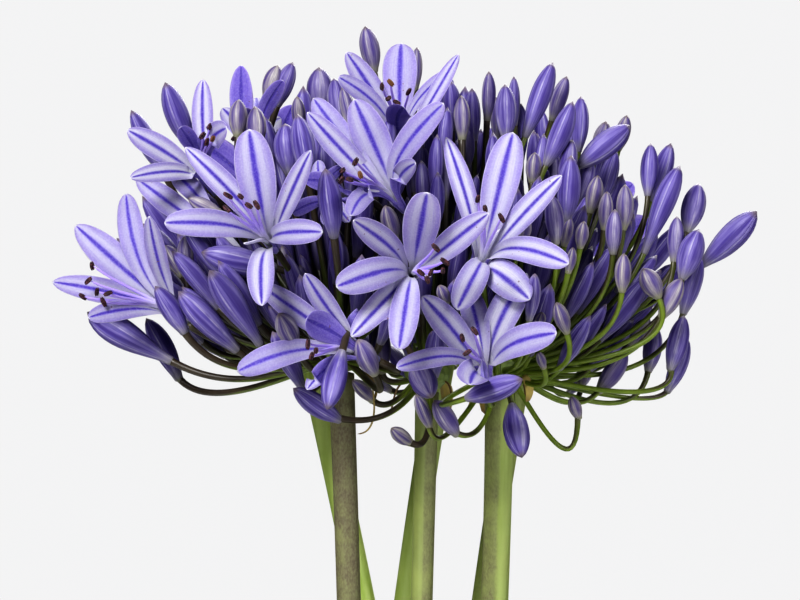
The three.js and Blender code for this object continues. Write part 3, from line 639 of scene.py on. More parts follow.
# For each open flower: the pixel of its throat, how near it is to the dome's face, the way it faces and
# how pale it is. Then come its tepals' tips, each with a width in pixels and how far it comes forward,
# and the pixels of its anthers.
FLOWERS = [
    {
        "throat": (268, 240), "layer": 1, "faces": (-0.2, -0.9, 0.3), "paleness": 0.85,
        "tips": [
            (185, 147, 25, 1), (249, 129, 40, 1), (311, 150, 22, 1),
            (323, 232, 26, 1), (262, 306, 28, 1), (164, 223, 29, 1),
        ],
        "anthers": [(227, 195), (226, 208), (240, 196), (248, 205), (256, 204)],
    },
    {
        "throat": (391, 195), "layer": 0.85, "faces": (-0.45, -0.75, 0.5), "paleness": 0.4,
        "tips": [
            (307, 112, 26, 1), (313, 98, 26, -0.7), (354, 99, 38, 0.3),
            (444, 103, 27, 1), (416, 163, 22, 1), (351, 216, 22, 1),
        ],
        "anthers": [(343, 170), (356, 161), (349, 179), (360, 174), (342, 179)],
    },
    {
        "throat": (413, 272), "layer": 1.12, "faces": (0.05, -0.97, 0.2), "paleness": 0.75,
        "tips": [
            (353, 220, 27, 1), (427, 192, 37, 1), (489, 213, 28, 1),
            (399, 350, 30, 0.7), (351, 337, 26, 0.9), (336, 287, 33, 1),
        ],
        "anthers": [(420, 272), (431, 272), (427, 279), (444, 261), (443, 270), (435, 247)],
    },
    {
        "throat": (482, 260), "layer": 0.85, "faces": (0.1, -0.8, 0.6), "paleness": 0.9,
        "tips": [
            (446, 137, 23, 0.6), (513, 132, 37, 0.2), (562, 175, 25, 1),
            (569, 264, 28, 1), (530, 300, 36, 0.55), (457, 310, 30, 0.65),
        ],
        "anthers": [(478, 198), (485, 208), (501, 217)],
    },
    {
        "throat": (485, 371), "layer": 1, "faces": (-0.1, -0.75, 0.65), "paleness": 0.6,
        "tips": [
            (422, 296, 31, 0.4), (466, 285, 27, -0.3), (527, 273, 33, -0.2),
            (557, 333, 32, 1), (470, 385, 34, 1), (396, 368, 21, 1),
        ],
        "anthers": [(462, 337), (474, 330), (468, 352)],
    },
    {
        "throat": (170, 310), "layer": 0.45, "faces": (-0.55, -0.5, 0.45), "paleness": 0.35,
        "tips": [
            (75, 225, 34, -0.3), (126, 193, 27, -0.6), (149, 216, 22, 0.8),
            (88, 318, 22, 0.6), (52, 282, 26, 0.2), (110, 281, 34, -0.9),
        ],
        "anthers": [(92, 265), (89, 280), (97, 291), (109, 293), (103, 301), (82, 296)],
    },
    {
        "throat": (205, 172), "layer": 0.5, "faces": (-0.35, -0.6, 0.7), "paleness": 0.7,
        "tips": [
            (127, 130, 27, 0.4), (180, 127, 18, 0.9), (203, 79, 22, 0),
            (227, 128, 26, 0.9), (130, 178, 21, 0.8),
        ],
        "anthers": [(210, 126), (203, 135), (207, 141), (213, 138)],
    },
    {
        "throat": (250, 150), "layer": -0.3, "faces": (0.05, 0.1, 1), "paleness": 0.65,
        "tips": [
            (241, 65, 24, 0.3), (283, 80, 18, 0.5), (281, 118, 22, -0.8),
            (256, 98, 26, -1), (222, 108, 22, -0.7), (232, 120, 24, 0.9),
        ],
        "anthers": [],
    },
    {
        "throat": (400, 135), "layer": 0.35, "faces": (-0.05, -0.5, 0.85), "paleness": 0.5,
        "tips": [
            (346, 52, 26, 0.3), (401, 43, 35, -0.2), (459, 54, 17, 0.2),
            (453, 69, 14, 0.1), (404, 107, 26, 1), (338, 77, 20, 0.5),
        ],
        "anthers": [(390, 82), (382, 86), (409, 91), (389, 98), (396, 102)],
    },
    {
        "throat": (352, 350), "layer": 0.95, "faces": (-0.8, -0.4, 0.35), "paleness": 0.35,
        "tips": [
            (305, 273, 24, 0.4), (412, 303, 24, 0.2), (307, 390, 20, 0.6),
            (237, 372, 28, 0.3), (258, 283, 26, -0.2), (306, 319, 30, 0.45),
        ],
        "anthers": [(308, 343), (316, 350), (312, 355)],
    },
    {
        "throat": (222, 231), "layer": 0.5, "faces": (-0.6, -0.2, 0.7), "paleness": 0.15,
        "tips": [(136, 178, 26, -0.2), (172, 170, 22, -0.8)],
        "anthers": [],
    },
    {
        "throat": (335, 195), "layer": 0.72, "faces": (-0.8, -0.5, 0.1), "paleness": 0.6,
        "tips": [
            (303, 180, 20, 0.3), (318, 160, 16, -0.3), (345, 165, 14, -0.6),
            (350, 222, 14, 0.1), (325, 225, 16, 0.4), (292, 213, 16, 0.5),
        ],
        "anthers": [],
    },
]
# Tepals that curve aside, by flower and tepal, with how far in millimetres
SWAYS = {(9, 1): 4.5, (8, 2): -4.0}
# For each closed bud: the pixels of its foot and of its tip, its width in pixels, and how near its foot
# is to the dome's face
BUDS = [
    (702, 265, 757, 211, 27, 0), (644, 253, 680, 165, 23, 0.35), (652, 200, 671, 143, 20, 0),
    (648, 196, 651, 143, 18, 0.35), (687, 232, 699, 183, 24, 0.25), (674, 262, 677, 216, 17, 0.4),
    (682, 279, 699, 229, 26, 0.45), (683, 314, 701, 256, 20, 0.15), (661, 318, 682, 278, 20, 0.6),
    (670, 370, 684, 315, 21, 0.4), (598, 392, 627, 351, 20, 0.35), (659, 298, 643, 268, 22, 0.65),
    (622, 292, 624, 253, 17, 0.75), (613, 254, 615, 209, 17, 0.75), (623, 230, 625, 184, 18, 0.5),
    (580, 248, 584, 221, 14, 0.8), (556, 244, 551, 194, 19, 0.85), (566, 222, 571, 155, 24, 0.75),
    (562, 190, 572, 139, 18, 0.5), (546, 165, 573, 101, 22, 0.55), (578, 152, 581, 96, 18, 0.3),
    (579, 166, 630, 125, 26, 0.45), (525, 137, 553, 62, 22, 0.35), (506, 140, 505, 84, 22, 0.45),
    (487, 120, 489, 71, 14, 0), (519, 245, 526, 216, 18, 0.8), (529, 320, 535, 273, 16, 0.95),
    (567, 333, 556, 302, 16, 0.95), (579, 419, 571, 396, 13, 0.6), (512, 405, 522, 458, 26, 0.95),
    (467, 398, 523, 379, 25, 1.15), (577, 205, 592, 160, 18, 0.35), (171, 361, 87, 312, 30, 0.35),
    (179, 379, 146, 318, 22, 0), (185, 333, 155, 286, 21, 0.75), (237, 350, 178, 291, 26, 0.65),
    (260, 344, 209, 270, 27, 0.7), (275, 268, 201, 252, 30, 0.6), (183, 277, 165, 245, 17, 0.25),
    (222, 215, 188, 198, 16, 0.5), (190, 146, 165, 82, 24, 0.2), (163, 172, 131, 110, 20, -0.15),
    (238, 137, 239, 99, 19, 0.4), (256, 148, 255, 106, 20, 0.45), (277, 106, 293, 62, 19, -0.45),
    (290, 175, 285, 123, 28, 0.45), (308, 178, 297, 114, 24, 0.6), (334, 237, 325, 168, 24, 0.95),
    (295, 346, 279, 313, 22, 0.95), (340, 125, 334, 78, 19, 0.15), (352, 130, 342, 87, 15, 0.3),
    (374, 72, 365, 26, 20, -0.3), (452, 130, 450, 80, 19, 0), (462, 140, 461, 95, 17, 0.35),
    (375, 374, 358, 339, 22, 0.9), (382, 373, 380, 324, 20, 0.4), (340, 420, 293, 388, 22, 0.75),
    (342, 352, 327, 410, 24, 1.05), (415, 362, 432, 398, 27, 0.95), (457, 435, 434, 400, 20, 0.95),
    (411, 443, 391, 428, 15, 0.8), (667, 392, 688, 338, 18, 0.1), (648, 372, 655, 324, 19, 0.1),
    (604, 230, 607, 191, 15, 0.6), (590, 213, 598, 175, 17, 0.55), (568, 273, 573, 247, 11, 0.8),
    (564, 246, 570, 216, 12, 0.7), (552, 120, 567, 76, 16, 0), (515, 125, 514, 76, 12, -0.1),
    (532, 183, 535, 152, 16, 0.5), (538, 327, 542, 312, 11, 0.85), (544, 368, 538, 352, 10, 0.8),
    (628, 345, 650, 318, 16, 0.2), (581, 388, 582, 366, 12, 0.15), (618, 150, 627, 115, 15, -0.1),
    (600, 205, 616, 150, 18, 0.2), (186, 277, 184, 236, 17, 0.3), (266, 98, 278, 65, 18, -0.5),
    (290, 285, 282, 245, 16, 0.5), (336, 310, 332, 250, 12, 0.5), (300, 130, 297, 96, 14, 0),
    (415, 90, 417, 47, 13, -0.5), (474, 140, 472, 88, 16, 0.05), (445, 200, 443, 150, 16, 0.4),
    (395, 240, 385, 205, 18, 0.7), (447, 303, 439, 285, 13, 0.8), (373, 401, 352, 380, 14, 0.5),
    (430, 428, 416, 394, 14, 0.9), (319, 114, 319, 67, 27, -0.5), (521, 160, 521, 103, 15, -0.2),
    (535, 192, 534, 130, 15, -0.1), (596, 162, 606, 121, 19, -0.2), (497, 140, 496, 97, 14, -0.2),
    (552, 196, 553, 148, 15, 0.2), (466, 170, 468, 126, 15, 0.1), (424, 218, 421, 160, 17, 0.3),
    (545, 165, 541, 108, 17, -0.3), (380, 372, 373, 316, 17, 0.3), (563, 170, 556, 118, 15, -0.3),
]
# Buds whose whole pedicels the photograph shows: the foot, the stalk, and the pixel they curve towards
# before they reach the foot
CURVES = {
    (340, 420): ("front_centre", (395, 430)),
    (457, 435): ("front_right", (486, 450)),
    (430, 428): ("front_right", (438, 470)),
    (411, 443): ("front_centre", (436, 462)),
    (179, 379): ("front_left", (205, 414)),
    (670, 370): ("front_right", (680, 412)),
    (667, 392): ("front_right", (660, 412)),
    (579, 419): ("front_right", (577, 508)),
    (512, 405): ("front_right", (509, 394)),
}

# Open flowers at the back: the stalk, the way and distance of the throat from its top, and how far the
# tepals spread, in millimetres
BACK_FLOWERS = [
    ("rear_left", (-0.62, 0.7, 0.45), 52, 27),
    ("rear_left", (-0.3, 0.25, 0.95), 62, 22),
    ("rear_centre", (0.02, 0.8, 0.5), 50, 14),
    ("rear_right", (0.35, 0.6, 0.6), 54, 21),
]
BACK_TEPAL_WIDTHS = (12.5 * MM, 9.5 * MM)
BACK_ANTHER_HEIGHT = 19 * MM
BACK_ANTHER_ASIDE = 6 * MM
BACK_ANTHER_CHANCE = 4 * MM
# The other buds lie on shells of the dome. For each shell: its share of the dome's size, how many buds
# would go all round it, its lowest height, how near it may come, its bud length and the most that
# chance adds to it, and its clearances from buds, from pedicels and from the next umbel
SHELLS = [
    (1, 80, -0.12, -18, 23, 9, 8.5, 4.5, 5.5),
    (0.78, 40, 0, -18, 23, 9, 8.5, 4.5, 5.5),
    (0.95, 170, -0.1, -20, 20, 10, 6.5, 3, 3),
    (0.86, 200, -0.05, -80, 19, 9, 5.5, 2.2, 1.5),
    (0.72, 200, -0.02, -75, 16, 8, 5, 2, 1.5),
    (0.58, 160, 0, -70, 12, 6, 4.5, 1.8, 1.5),
]
SHELL_REACHES = (1, 0.93, 0.86)
GOLDEN_ANGLE = math.pi * (3 - math.sqrt(5))
SHORTEST_PEDICEL = 24 * MM
FARTHEST_CLASH = 85 * MM
BUD_SLIMNESS = 0.27
# The outline of all the flowers together in the photograph, in pixels: these florets stay inside it
HEAD_OUTLINE = [
    (110, 300), (120, 200), (140, 125), (200, 95), (330, 62), (480, 70), (600, 110), (627, 130),
    (633, 205), (645, 150), (690, 185), (700, 250), (695, 330), (665, 385), (645, 338), (612, 348),
    (600, 388), (560, 395), (300, 392), (190, 340),
]


class Floret:
    """An open flower or a closed bud, on the pedicel that carries it."""

    def __init__(self, scape, foot, axis, length, width=0.0, tips=(), turn_in=None, shown=False):
        self.scape = scape
        self.foot = foot
        self.axis = axis
        self.length = length
        self.width = width
        self.tips = tips
        self.anthers = []
        self.paleness = 0.5
        self.shown = shown
        hub = scape.hub + scape.way * HUB_RISE
        bend = PEDICEL_BEND * (foot - hub).length
        turn_in = turn_in or foot - axis * bend
        leave = (turn_in - hub).normalized()
        leave.z = max(leave.z, LOWEST_LEAVE)
        start = hub + leave * PEDICEL_START
        self.pedicel = (start, hub + leave * bend, turn_in, foot + axis * PEDICEL_SINK)
        ends = [place for place, _ in tips] or [foot + axis * length]
        self.body = [foot] + ends + [end.lerp(foot, 0.5) for end in ends]
        self.stem = [bezier(*self.pedicel, share) for share in (0.6, 0.8)]


def dome_depth(px, py, layer):
    """How deep the dome's near face lies at a pixel, times a layer."""
    across = (px - DOME_PIXEL[0]) / DOME_PIXEL_HALF[0]
    down = (py - DOME_PIXEL[1]) / DOME_PIXEL_HALF[1]
    return -DOME_FORWARD * layer * math.sqrt(max(1 - across**2 - down**2, 0))


def nearest_scape(point):
    """The scape that a floret at a point hangs on."""
    return min(scapes, key=lambda scape: scape.claim(point))


def shown_at(pixel, throat, length, forward=1.0):
    """The place of a pixel at a length from a flower's throat, on the near side of it or behind."""
    flat = (seen(pixel[0], pixel[1], throat.y) - throat).length
    depth = max(math.sqrt(max(length**2 - flat**2, 0)), NEAREST_TIP)
    return seen(pixel[0], pixel[1], throat.y - depth * forward)


florets = []
for shown in FLOWERS:
    px, py = shown["throat"]
    throat = seen(px, py, dome_depth(px, py, shown["layer"]))
    axis = Vector(shown["faces"]).normalized()
    tips = []
    for tip_x, tip_y, width, forward in shown["tips"]:
        tip = shown_at((tip_x, tip_y), throat, TEPAL_LENGTH, forward)
        nearness = (EYE_DISTANCE + (tip.y + throat.y) / 2) / EYE_DISTANCE
        tips.append((tip, width * PIXEL * nearness))
    foot = throat - axis * TUBE_LENGTH
    flower = Floret(nearest_scape(foot), foot, axis, TUBE_LENGTH, tips=tips, shown=True)
    flower.anthers = [shown_at(pixel, throat, STAMEN_LENGTH) for pixel in shown["anthers"]]
    flower.paleness = shown["paleness"]
    florets.append(flower)
for foot_x, foot_y, tip_x, tip_y, width, layer in BUDS:
    foot = seen(foot_x, foot_y, dome_depth(foot_x, foot_y, layer))
    scape = nearest_scape(foot)
    turn_in = None
    if (foot_x, foot_y) in CURVES:
        name, (turn_x, turn_y) = CURVES[foot_x, foot_y]
        scape = next(each for each in scapes if each.name == name)
        turn_in = seen(turn_x, turn_y, foot.y)
    flat = (seen(tip_x, tip_y, foot.y) - foot).length
    from_hub = (foot - scape.hub).normalized()
    reach = seen(tip_x, tip_y, foot.y + from_hub.y * flat * BUD_DEPTH_LEAN) - foot
    length = reach.length
    width *= PIXEL * (EYE_DISTANCE + foot.y) / EYE_DISTANCE
    bud = Floret(scape, foot, reach.normalized(), length, width=width, turn_in=turn_in, shown=True)
    florets.append(bud)


def in_own_share(point, scape, gap):
    """Whether a point lies inside its own scape's share of the dome by a gap."""
    for other in scapes:
        if other is scape:
            continue
        apart = 2 * (other.hub - scape.hub).length
        if (other.claim(point) - scape.claim(point)) / apart <= gap:
            return False
    return True


def in_outline(point):
    """Whether the photograph would show a point inside the flowers' outline."""
    scale = PIXEL * (EYE_DISTANCE + point.y) / EYE_DISTANCE
    px = PICTURE_MIDDLE[0] + point.x / scale
    py = PICTURE_MIDDLE[1] - (point.z - EYE_HEIGHT) / scale
    inside = False
    for (x1, y1), (x2, y2) in zip(HEAD_OUTLINE, HEAD_OUTLINE[1:] + HEAD_OUTLINE[:1]):
        if (y1 > py) != (y2 > py) and px < x1 + (x2 - x1) * (py - y1) / (y2 - y1):
            inside = not inside
    return inside


def far_from(points, others, gap):
    """Whether all the points keep a gap from all the others."""
    return all((point - other).length > gap for point in points for other in others)


def has_room(floret, nearest, body_gap, stem_gap, umbel_gap):
    """Whether a floret keeps to its own umbel and the outline, and off those placed before it."""
    if floret.foot.y < nearest or (floret.foot - floret.scape.hub).length < SHORTEST_PEDICEL:
        return False
    marks = floret.body + floret.stem
    if not all(in_own_share(mark, floret.scape, umbel_gap) and in_outline(mark) for mark in marks):
        return False
    for other in florets:
        if (floret.foot - other.foot).length > FARTHEST_CLASH:
            continue
        if not far_from(floret.body, other.body, body_gap):
            return False
        if not far_from(floret.stem, other.body, stem_gap) or not far_from(floret.body, other.stem, stem_gap):
            return False
    return True


for count, (name, direction, distance, spread) in enumerate(BACK_FLOWERS):
    scape = next(each for each in scapes if each.name == name)
    way = Vector(direction).normalized()
    axis = (way + UP * 0.15).normalized()
    throat = scape.hub + way * (distance * MM)
    side = axis.cross(Vector((0.3, 0.2, 1))).normalized()
    forward = axis.cross(side)
    tips = []
    for k in range(6):
        turn = k * math.pi / 3 + draw(count, k) * 0.25
        out = spread * MM * (0.9 + 0.2 * draw(count + 3, k))
        ahead = math.sqrt(TEPAL_LENGTH**2 - out**2) * 0.8
        outward = side * math.cos(turn) + forward * math.sin(turn)
        tips.append((throat + outward * out + axis * ahead, BACK_TEPAL_WIDTHS[k % 2]))
    foot = throat - axis * TUBE_LENGTH
    flower = Floret(scape, foot, axis, TUBE_LENGTH, tips=tips, shown=True)
    flower.paleness = draw(count, 1)
    for k in range(6):
        turn = k * math.pi / 3 + 0.5 + 0.4 * draw(count, k + 3)
        out = side * math.cos(turn) + forward * math.sin(turn)
        height = BACK_ANTHER_HEIGHT + BACK_ANTHER_CHANCE * draw(count, k)
        width = BACK_ANTHER_ASIDE + BACK_ANTHER_CHANCE * draw(k, count)
        flower.anthers.append(throat + axis * height + out * width)
    florets.append(flower)

for size, count, lowest, nearest, shortest, longer, body_gap, stem_gap, umbel_gap in SHELLS:
    for i in range(count):
        for inward in SHELL_REACHES:
            rise = 1 - (i + 0.5) / count * (1 - lowest)
            turn = i * GOLDEN_ANGLE
            around = math.sqrt(max(1 - rise * rise, 0))
            reach = size * inward * (0.92 + 0.08 * draw(count, i))
            way = Vector((around * math.cos(turn), around * math.sin(turn), rise)) * reach
            end = DOME_MIDDLE + way * DOME_HALF
            scape = nearest_scape(end)
            axis = ((end - scape.hub).normalized() + UP * (0.75 * (1 - rise))).normalized()
            length = (shortest + longer * draw(i, count)) * MM
            floret = Floret(scape, end - axis * length, axis, length, width=length * BUD_SLIMNESS)
            if has_room(floret, nearest * MM, body_gap * MM, stem_gap * MM, umbel_gap * MM):
                florets.append(floret)
                break

# The scapes' tops
# A scape swells into a green knob that its pedicels grow out of. Dry remains of the papery sheath
# that once wrapped the umbel, and thin brown bracts, still hang below the pedicels.
# Painted shade: how deep inside the dome, and above which heights, pedicels, buds and tepals are darkened
DEEPEST_REACH = 0.5
SHALLOWEST_REACH = 0.86
PAINTED_SHADE_ABOVE = (0.398, 0.432)
KNOB = [(0, 3.6), (0.12, 4.8), (0.3, 7.2), (0.5, 8), (0.75, 7.2), (0.9, 5), (1, 0)]
KNOB_BASE = 0.3 * MM
KNOB_LENGTH = 12.7 * MM
KNOB_RINGS = 14
KNOB_SIDES = 20
BRACTS_PER_KNOB = 3
BRACT_RINGS = 16
BRACT_SIDES = 10
BRACT_START = (3.5 * MM, 5.5 * MM)
BROAD_BRACT = (15 * MM, 2.6 * MM, 0.22 * MM)
THREAD_BRACT = (6 * MM, 0.45 * MM, 0.3 * MM)
THREAD_LONGER = 8 * MM
SHOWN_BRACT_THICKNESS = 0.25 * MM
# Bracts that the photograph shows: their stalk, four pixels along each, its depth and half width in
# millimetres, and how yellow it is
SHOWN_BRACTS = [
    ("front_left", [(372, 384), (377, 412), (375, 434), (357, 434)], -48, 0.35, 0.6),
    ("front_left", [(364, 372), (370, 374), (374, 380), (378, 388)], -44, 1.5, 0.35),
    ("front_right", [(522, 376), (528, 380), (531, 392), (526, 402)], -46, 1.9, 1.0),
    ("front_right", [(470, 399), (471, 405), (466, 412), (459, 418)], -44, 0.3, 0.6),
]


def painted_shade_inside(tree, at):
    """A socket for the painted shade inside the dome: how deep a point lies in it, above the knobs."""
    moved = add(tree, "ShaderNodeVectorMath", {0: at, 1: tuple(DOME_MIDDLE)}, operation="SUBTRACT")
    scaled = add(tree, "ShaderNodeVectorMath", {0: moved.outputs[0], 1: tuple(DOME_HALF)}, operation="DIVIDE")
    reach = add(tree, "ShaderNodeVectorMath", {0: scaled.outputs[0]}, operation="LENGTH").outputs["Value"]
    height = add(tree, "ShaderNodeSeparateXYZ", {0: at}).outputs["Z"]
    above = ramp(tree, height, PAINTED_SHADE_ABOVE[0], PAINTED_SHADE_ABOVE[1])
    return sums(tree, "MULTIPLY", ramp(tree, reach, DEEPEST_REACH, SHALLOWEST_REACH, 1.0, 0.0), above)


knob_material, tree, shader = new_material("knob_green")
at = place_on(tree)
scars = add(tree, "ShaderNodeTexVoronoi", {"Vector": at, "Scale": 420.0})
clouds = mottling(tree, at, 180.0, 4.0)
green = blend(tree, clouds, (0.16, 0.24, 0.06, 1), (0.38, 0.46, 0.16, 1))
green = blend(tree, ramp(tree, scars.outputs["Distance"], 0.5, 0.8, 0.0, 0.6), green, (0.1, 0.12, 0.04, 1))
dress(tree, shader, green, 0.55, 0.5, scars.outputs["Distance"], 0.5, MM)

bract_material, tree, shader = new_material("dry_bract")
skin, around, along = skin_coordinates(tree)
tint = tint_on(tree)
stretch = add(tree, "ShaderNodeMapping", {"Vector": skin, "Scale": (22.0, 2.0, 1.0)})
fibres = mottling(tree, stretch.outputs[0], 1.5, 5.0)
straw = blend(tree, tint, (0.16, 0.085, 0.04, 1), (0.62, 0.5, 0.14, 1))
straw = blend(tree, ramp(tree, fibres, 0.35, 0.7, 0.0, 0.6), straw, (0.5, 0.36, 0.2, 1))
straw = blend(tree, ramp(tree, along, 0.7, 1.0, 0.0, 0.7), straw, (0.2, 0.11, 0.06, 1))
dress(tree, shader, straw, 0.7, 0.5, fibres, 0.6, 0.3 * MM)


def straight_table(table, share):
    """A value read straight between the pairs of a table of share and value."""
    for (start, low), (end, high) in zip(table, table[1:]):
        if share <= end:
            return low + (high - low) * (share - start) / (end - start)
    return table[-1][1]


for head, scape in enumerate(scapes):
    bm = new_growth()
    points = []
    radii = []
    for ring in range(KNOB_RINGS + 1):
        share = ring / KNOB_RINGS
        points.append(scape.hub + scape.way * (KNOB_BASE + KNOB_LENGTH * share))
        radii.append(straight_table(KNOB, share) * MM)
    grow(bm, round_stations(points, radii), KNOB_SIDES, 0.5)
    umbel = f"umbel_{scape.name}"
    new_piece(f"knob_{scape.name}", bm, knob_material, "scape", umbel)

    bm = new_growth()
    for i in range(BRACTS_PER_KNOB):
        turn = i * GOLDEN_ANGLE + head
        outward = Vector((math.cos(turn), math.sin(turn), 0))
        across = Vector((-math.sin(turn), math.cos(turn), 0))
        broad = i == 0
        length, half, thick = BROAD_BRACT if broad else THREAD_BRACT
        length += 0 if broad else THREAD_LONGER * draw(head, i)
        start = scape.hub + scape.way * BRACT_START[0] + outward * BRACT_START[1]
        turn_down = start + outward * (length * 0.35) + UP * (length * 0.1)
        fall = start + outward * (length * 0.5) - UP * (length * 0.35)
        end = start + outward * (length * (0.35 + 0.3 * draw(i, head))) - UP * (length * 0.85)
        stations = []
        for ring in range(BRACT_RINGS + 1):
            share = ring / BRACT_RINGS
            middle = bezier(start, turn_down, fall, end, share)
            ahead = bezier(start, turn_down, fall, end, share + 0.02) - middle
            sway = math.sin(share * 6 + i) * 0.5
            turned_across = (across + UP * sway).normalized()
            turned_across = (turned_across - turned_across.project(ahead)).normalized()
            up = ahead.cross(turned_across).normalized()
            wide = half * (0.35 + 0.65 * math.sin(math.pi * min(share * 0.9 + 0.1, 1)))
            stations.append((middle, turned_across, up, wide, thick, wide * 0.4))
        grow(bm, stations, BRACT_SIDES, 0.9 if broad else draw(i, head + 4) * 0.5)
    for name, path, depth, half, yellow in SHOWN_BRACTS:
        if name != scape.name:
            continue
        path = [seen(px, py, depth * MM) for px, py in path]
        points = [bezier(*path, ring / BRACT_RINGS) for ring in range(BRACT_RINGS + 1)]
        stations = []
        for point, across, up, _, _, _ in round_stations(points, [0] * len(points)):
            share = len(stations) / BRACT_RINGS
            wide = half * MM * (0.3 + 0.7 * math.sin(math.pi * (0.1 + 0.85 * share)))
            stations.append((point, across, up, wide, SHOWN_BRACT_THICKNESS, wide * 0.3))
        grow(bm, stations, BRACT_SIDES, yellow)
    new_piece(f"bracts_{scape.name}", bm, bract_material, "floret", umbel)

# The pedicels
# Every floret hangs on its own round stalk, which leaves the knob, sags outwards and turns up into the
# floret. On the left they are purple-brown, on the right green with darker ends.
PEDICEL_RADIUS = 0.9 * MM
PEDICEL_RINGS = 26
PEDICEL_SIDES = 8
HIDDEN_PEDICEL_RINGS = 11
HIDDEN_PEDICEL_SIDES = 6
PEDICEL_SWELL = [(0, 1.3), (0.12, 1.05), (0.5, 0.92), (0.85, 0.98), (0.95, 1.08), (1, 1.2)]

pedicel_material, tree, shader = new_material("pedicel_skin")
skin, around, along = skin_coordinates(tree)
purple = tint_on(tree)
at = place_on(tree)
mottle = mottling(tree, at, 230.0, 5.0)
stretch = add(tree, "ShaderNodeMapping", {"Vector": skin, "Scale": (9.0, 1.6, 1.0)})
streaks = mottling(tree, stretch.outputs[0], 1.3, 3.0)
green = blend(tree, mottle, (0.1, 0.155, 0.012, 1), (0.27, 0.36, 0.045, 1))
brown = blend(tree, mottle, (0.026, 0.017, 0.014, 1), (0.085, 0.065, 0.038, 1))
normal = add(tree, "ShaderNodeNewGeometry").outputs["Normal"]
upward = add(tree, "ShaderNodeSeparateXYZ", {0: normal}).outputs["Z"]
share = sums(tree, "ADD", purple, ramp(tree, along, 0.3, 0.9, -0.35, 0.35))
share = sums(tree, "ADD", share, ramp(tree, upward, -0.8, 0.4, -0.4, 0.1))
share = sums(tree, "ADD", share, sums(tree, "MULTIPLY", sums(tree, "SUBTRACT", streaks, 0.5), 0.9))
skin_colour = blend(tree, ramp(tree, share, 0.2, 0.75), green, brown)
skin_colour = blend(tree, ramp(tree, along, 0.93, 1.0, 0.0, 0.5), skin_colour, (0.16, 0.16, 0.09, 1))
# Painted shade: deep inside the dome the pedicels are darkened nearly to black
painted_shade = sums(tree, "MULTIPLY", painted_shade_inside(tree, at), 0.85)
skin_colour = blend(tree, painted_shade, skin_colour, (0.01, 0.009, 0.005, 1))
tree.links.new(skin_colour, shader.inputs["Base Color"])
shader.inputs["Roughness"].default_value = 0.38
shader.inputs["Specular IOR Level"].default_value = 0.5


def smooth_table(table, share):
    """A value read from a table of share and value along a smooth line through its pairs."""
    for index, ((start, low), (end, high)) in enumerate(zip(table, table[1:])):
        if share > end:
            continue
        before_share, before = table[max(index - 1, 0)]
        after_share, after = table[min(index + 2, len(table) - 1)]
        span = end - start
        rise_in = (high - before) / (end - before_share) * span
        rise_out = (after - low) / (after_share - start) * span
        part = (share - start) / span
        square = part * part
        cube = square * part
        value = low * (2 * cube - 3 * square + 1) + rise_in * (cube - 2 * square + part)
        return value + high * (3 * square - 2 * cube) + rise_out * (cube - square)
    return table[-1][1]


def grow_on_umbels(part, material, grow_part):
    """Grow a part of every floret, and make each umbel's share of them a piece."""
    for head, scape in enumerate(scapes):
        bm = new_growth()
        for i, floret in enumerate(florets):
            if floret.scape is scape:
                grow_part(bm, i, head, floret)
        new_piece(f"{part}_{scape.name}", bm, material, "floret", f"umbel_{scape.name}")


def pedicel(bm, i, head, floret):
    """The stalk of one floret."""
    rings = PEDICEL_RINGS if floret.shown else HIDDEN_PEDICEL_RINGS
    sides = PEDICEL_SIDES if floret.shown else HIDDEN_PEDICEL_SIDES
    points = []
    radii = []
    for ring in range(rings):
        share = ring / (rings - 1)
        points.append(bezier(*floret.pedicel, share))
        radii.append(PEDICEL_RADIUS * floret.scape.stout * smooth_table(PEDICEL_SWELL, share))
    points.append(points[-1] + floret.axis * PEDICEL_SINK)
    radii.append(0)
    tint = floret.scape.purple + 0.3 * (draw(i, head) - 0.5)
    grow(bm, round_stations(points, radii), sides, tint)


grow_on_umbels("pedicels", pedicel_material, pedicel)

# The closed buds
# A bud is a club of six tepals still folded together, ribbed lengthwise and drawn into a blunt point.
# Young buds are small and grey-cream, and ripe ones are long and deep blue-violet.
BUD_RINGS = 14
BUD_SIDES = 18
HIDDEN_BUD_RINGS = 9
HIDDEN_BUD_SIDES = 12
YOUNG_SWELL = [
    (0, 0.12), (0.08, 0.38), (0.2, 0.7), (0.35, 0.93), (0.5, 1), (0.66, 0.95), (0.8, 0.75), (0.91, 0.45),
    (1, 0.08),
]
RIPE_SWELL = [
    (0, 0.1), (0.1, 0.26), (0.25, 0.54), (0.43, 0.84), (0.6, 1), (0.76, 0.94), (0.88, 0.69), (0.95, 0.4),
    (1, 0.08),
]
BUD_NECK = 0.85 * MM
BUD_NECK_FADE = 9
BUD_SINK = 0.06
BUD_BOW = 0.05
BUD_GROOVE = 0.03
RIPE_LENGTH = (12 * MM, 22 * MM)
CLUB_LENGTH = (24 * MM, 34 * MM)

bud_material, tree, shader = new_material("bud_violet")
skin, around, along = skin_coordinates(tree)
ripe = tint_on(tree)
angle = sums(tree, "MULTIPLY", sums(tree, "SUBTRACT", around, 0.5), math.tau)
doubled = sums(tree, "ADD", sums(tree, "MULTIPLY", angle, 2.0), sums(tree, "MULTIPLY", ripe, 19.0))
uneven = sums(tree, "ADD", angle, sums(tree, "MULTIPLY", sums(tree, "SINE", doubled), 0.3))
seam = sums(tree, "ABSOLUTE", sums(tree, "SINE", sums(tree, "MULTIPLY", uneven, 2.5)))
at = place_on(tree)
clouds = mottling(tree, at, 95.0, 4.0)
patches = mottling(tree, at, 210.0, 3.0)
stretch = add(tree, "ShaderNodeMapping", {"Vector": skin, "Scale": (34.0, 2.2, 1.0)})
veins = mottling(tree, stretch.outputs[0], 1.0, 4.0)
fibre = ramp(tree, veins, 0.35, 0.68)
age = ramp(tree, ripe, 0.05, 0.75)
violet = blend(tree, clouds, (0.065, 0.045, 0.23, 1), (0.18, 0.135, 0.44, 1))
violet = blend(tree, sums(tree, "MULTIPLY", fibre, 0.45), violet, (0.37, 0.325, 0.59, 1))
